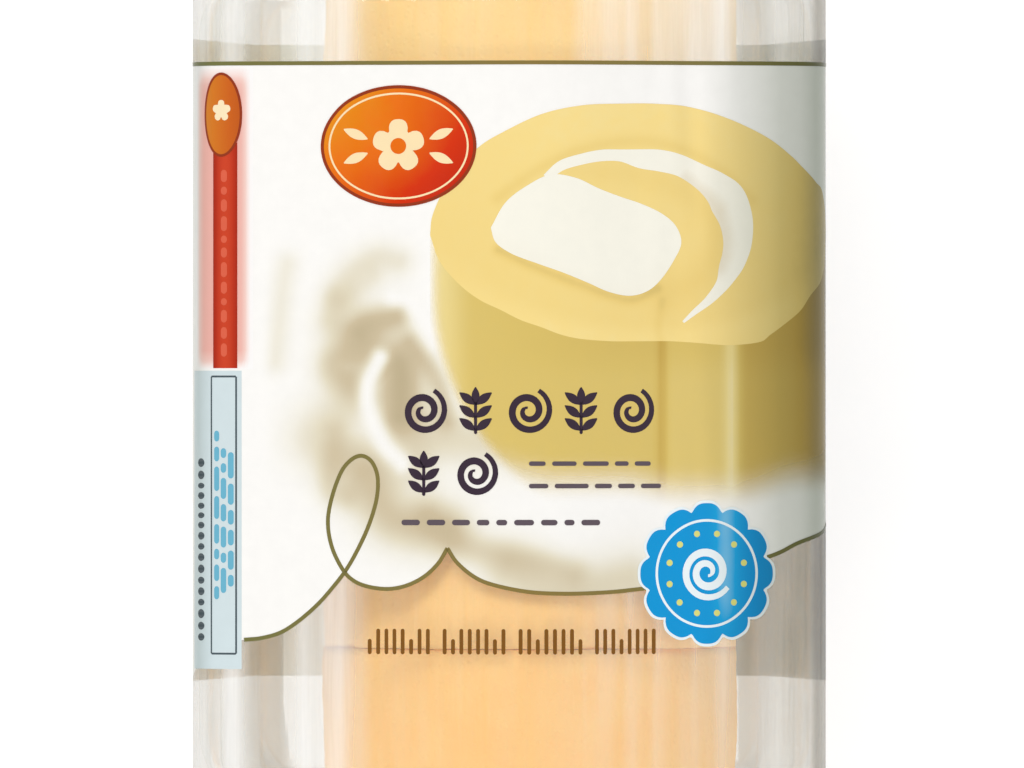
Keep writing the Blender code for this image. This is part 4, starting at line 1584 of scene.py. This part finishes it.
# %% Camera
CAMERA_HEIGHT = 3000.0
CAMERA_PLACE = (0.39, 0.0)
RIM_SPAN_PX = 633.0
IMAGE_WIDTH_PX = 1024.0
SENSOR_MM = 36.0
focal_px = RIM_SPAN_PX / (2.0 * HALF_WIDTH) * (CAMERA_HEIGHT - LEFT_ROUND[1])
camera_data = bpy.data.cameras.new("camera")
camera_data.sensor_width = SENSOR_MM
camera_data.lens = SENSOR_MM * focal_px / IMAGE_WIDTH_PX
camera_data.clip_start, camera_data.clip_end = 0.1, 50.0
camera = bpy.data.objects.new("camera", camera_data)
camera.location = (CAMERA_PLACE[0] * MM, CAMERA_PLACE[1] * MM, CAMERA_HEIGHT * MM)
bpy.context.scene.collection.objects.link(camera)
bpy.context.scene.camera = camera
print("lens", round(camera_data.lens, 1), "mm")


# %% Floor
def floor_material():
    """Plain pale paper with a trace of tooth, bright enough to stay white round the pack."""
    material, tree = new_material("floor")
    tooth = stretched_noise(tree, 60.0, (1.0, 1.0, 1.0), Detail=4.0).outputs["Fac"]
    tone = mix_colours(tree, tooth, (0.40, 0.40, 0.40), (0.43, 0.43, 0.43))
    shader = add_node(tree, "ShaderNodeBsdfPrincipled", {"Base Color": tone}, Roughness=0.9)
    shader.inputs["Emission Color"].default_value = (1.0, 1.0, 1.0, 1.0)
    shader.inputs["Emission Strength"].default_value = 0.66
    finish_material(tree, shader.outputs[0])
    return material


FLOOR_HALF = 6.0
FLOOR_Z = -0.0002
floor_mesh = bpy.data.meshes.new("floor")
floor_corners = [(x * FLOOR_HALF, y * FLOOR_HALF, FLOOR_Z) for x, y in ((-1, -1), (1, -1), (1, 1), (-1, 1))]
floor_mesh.from_pydata(floor_corners, [], [(0, 1, 2, 3)])
floor_mesh.materials.append(floor_material())
floor = bpy.data.objects.new("floor", floor_mesh)
bpy.context.scene.collection.objects.link(floor)


# %% Lights
def soft_light(name, place, size, power, target=(0.0, 0.0, 0.04)):
    """A rectangular soft light aimed at a point, unseen by the camera itself."""
    data = bpy.data.lights.new(name, "AREA")
    data.shape = "RECTANGLE"
    data.size, data.size_y = size
    data.energy = power
    light = bpy.data.objects.new(name, data)
    light.location = place
    aim = np.array(target) - np.array(place)
    pitch = math.atan2(math.hypot(aim[0], aim[1]), -aim[2])
    light.rotation_euler = (pitch, 0.0, math.atan2(-aim[0], aim[1]))
    light.visible_camera = False
    bpy.context.scene.collection.objects.link(light)
    return light


soft_light("key", (-0.24, 0.66, 0.94), (0.7, 0.4), 4.2)
soft_light("fill", (-0.10, -0.72, 0.84), (0.7, 0.4), 2.6)
soft_light("left_wide", (-0.90, 0.0, 0.75), (1.0, 1.2), 1.2)
soft_light("right_wide", (0.90, 0.0, 0.75), (1.0, 1.2), 1.4)

# %% Studio air and the light's path
# Light crosses many sheets of film and ink here, so a ray may pass more of them than is usual.
world = bpy.data.worlds.new("studio")
world.use_nodes = True
backdrop = world.node_tree.nodes["Background"].inputs
backdrop["Color"].default_value = (1.0, 1.0, 1.0, 1.0)
backdrop["Strength"].default_value = 0.60
bpy.context.scene.world = world
bpy.context.scene.view_settings.view_transform = "Standard"
light_paths = bpy.context.scene.cycles
light_paths.transparent_max_bounces = 48
light_paths.max_bounces = 24
light_paths.glossy_bounces = 12
light_paths.diffuse_bounces = 10
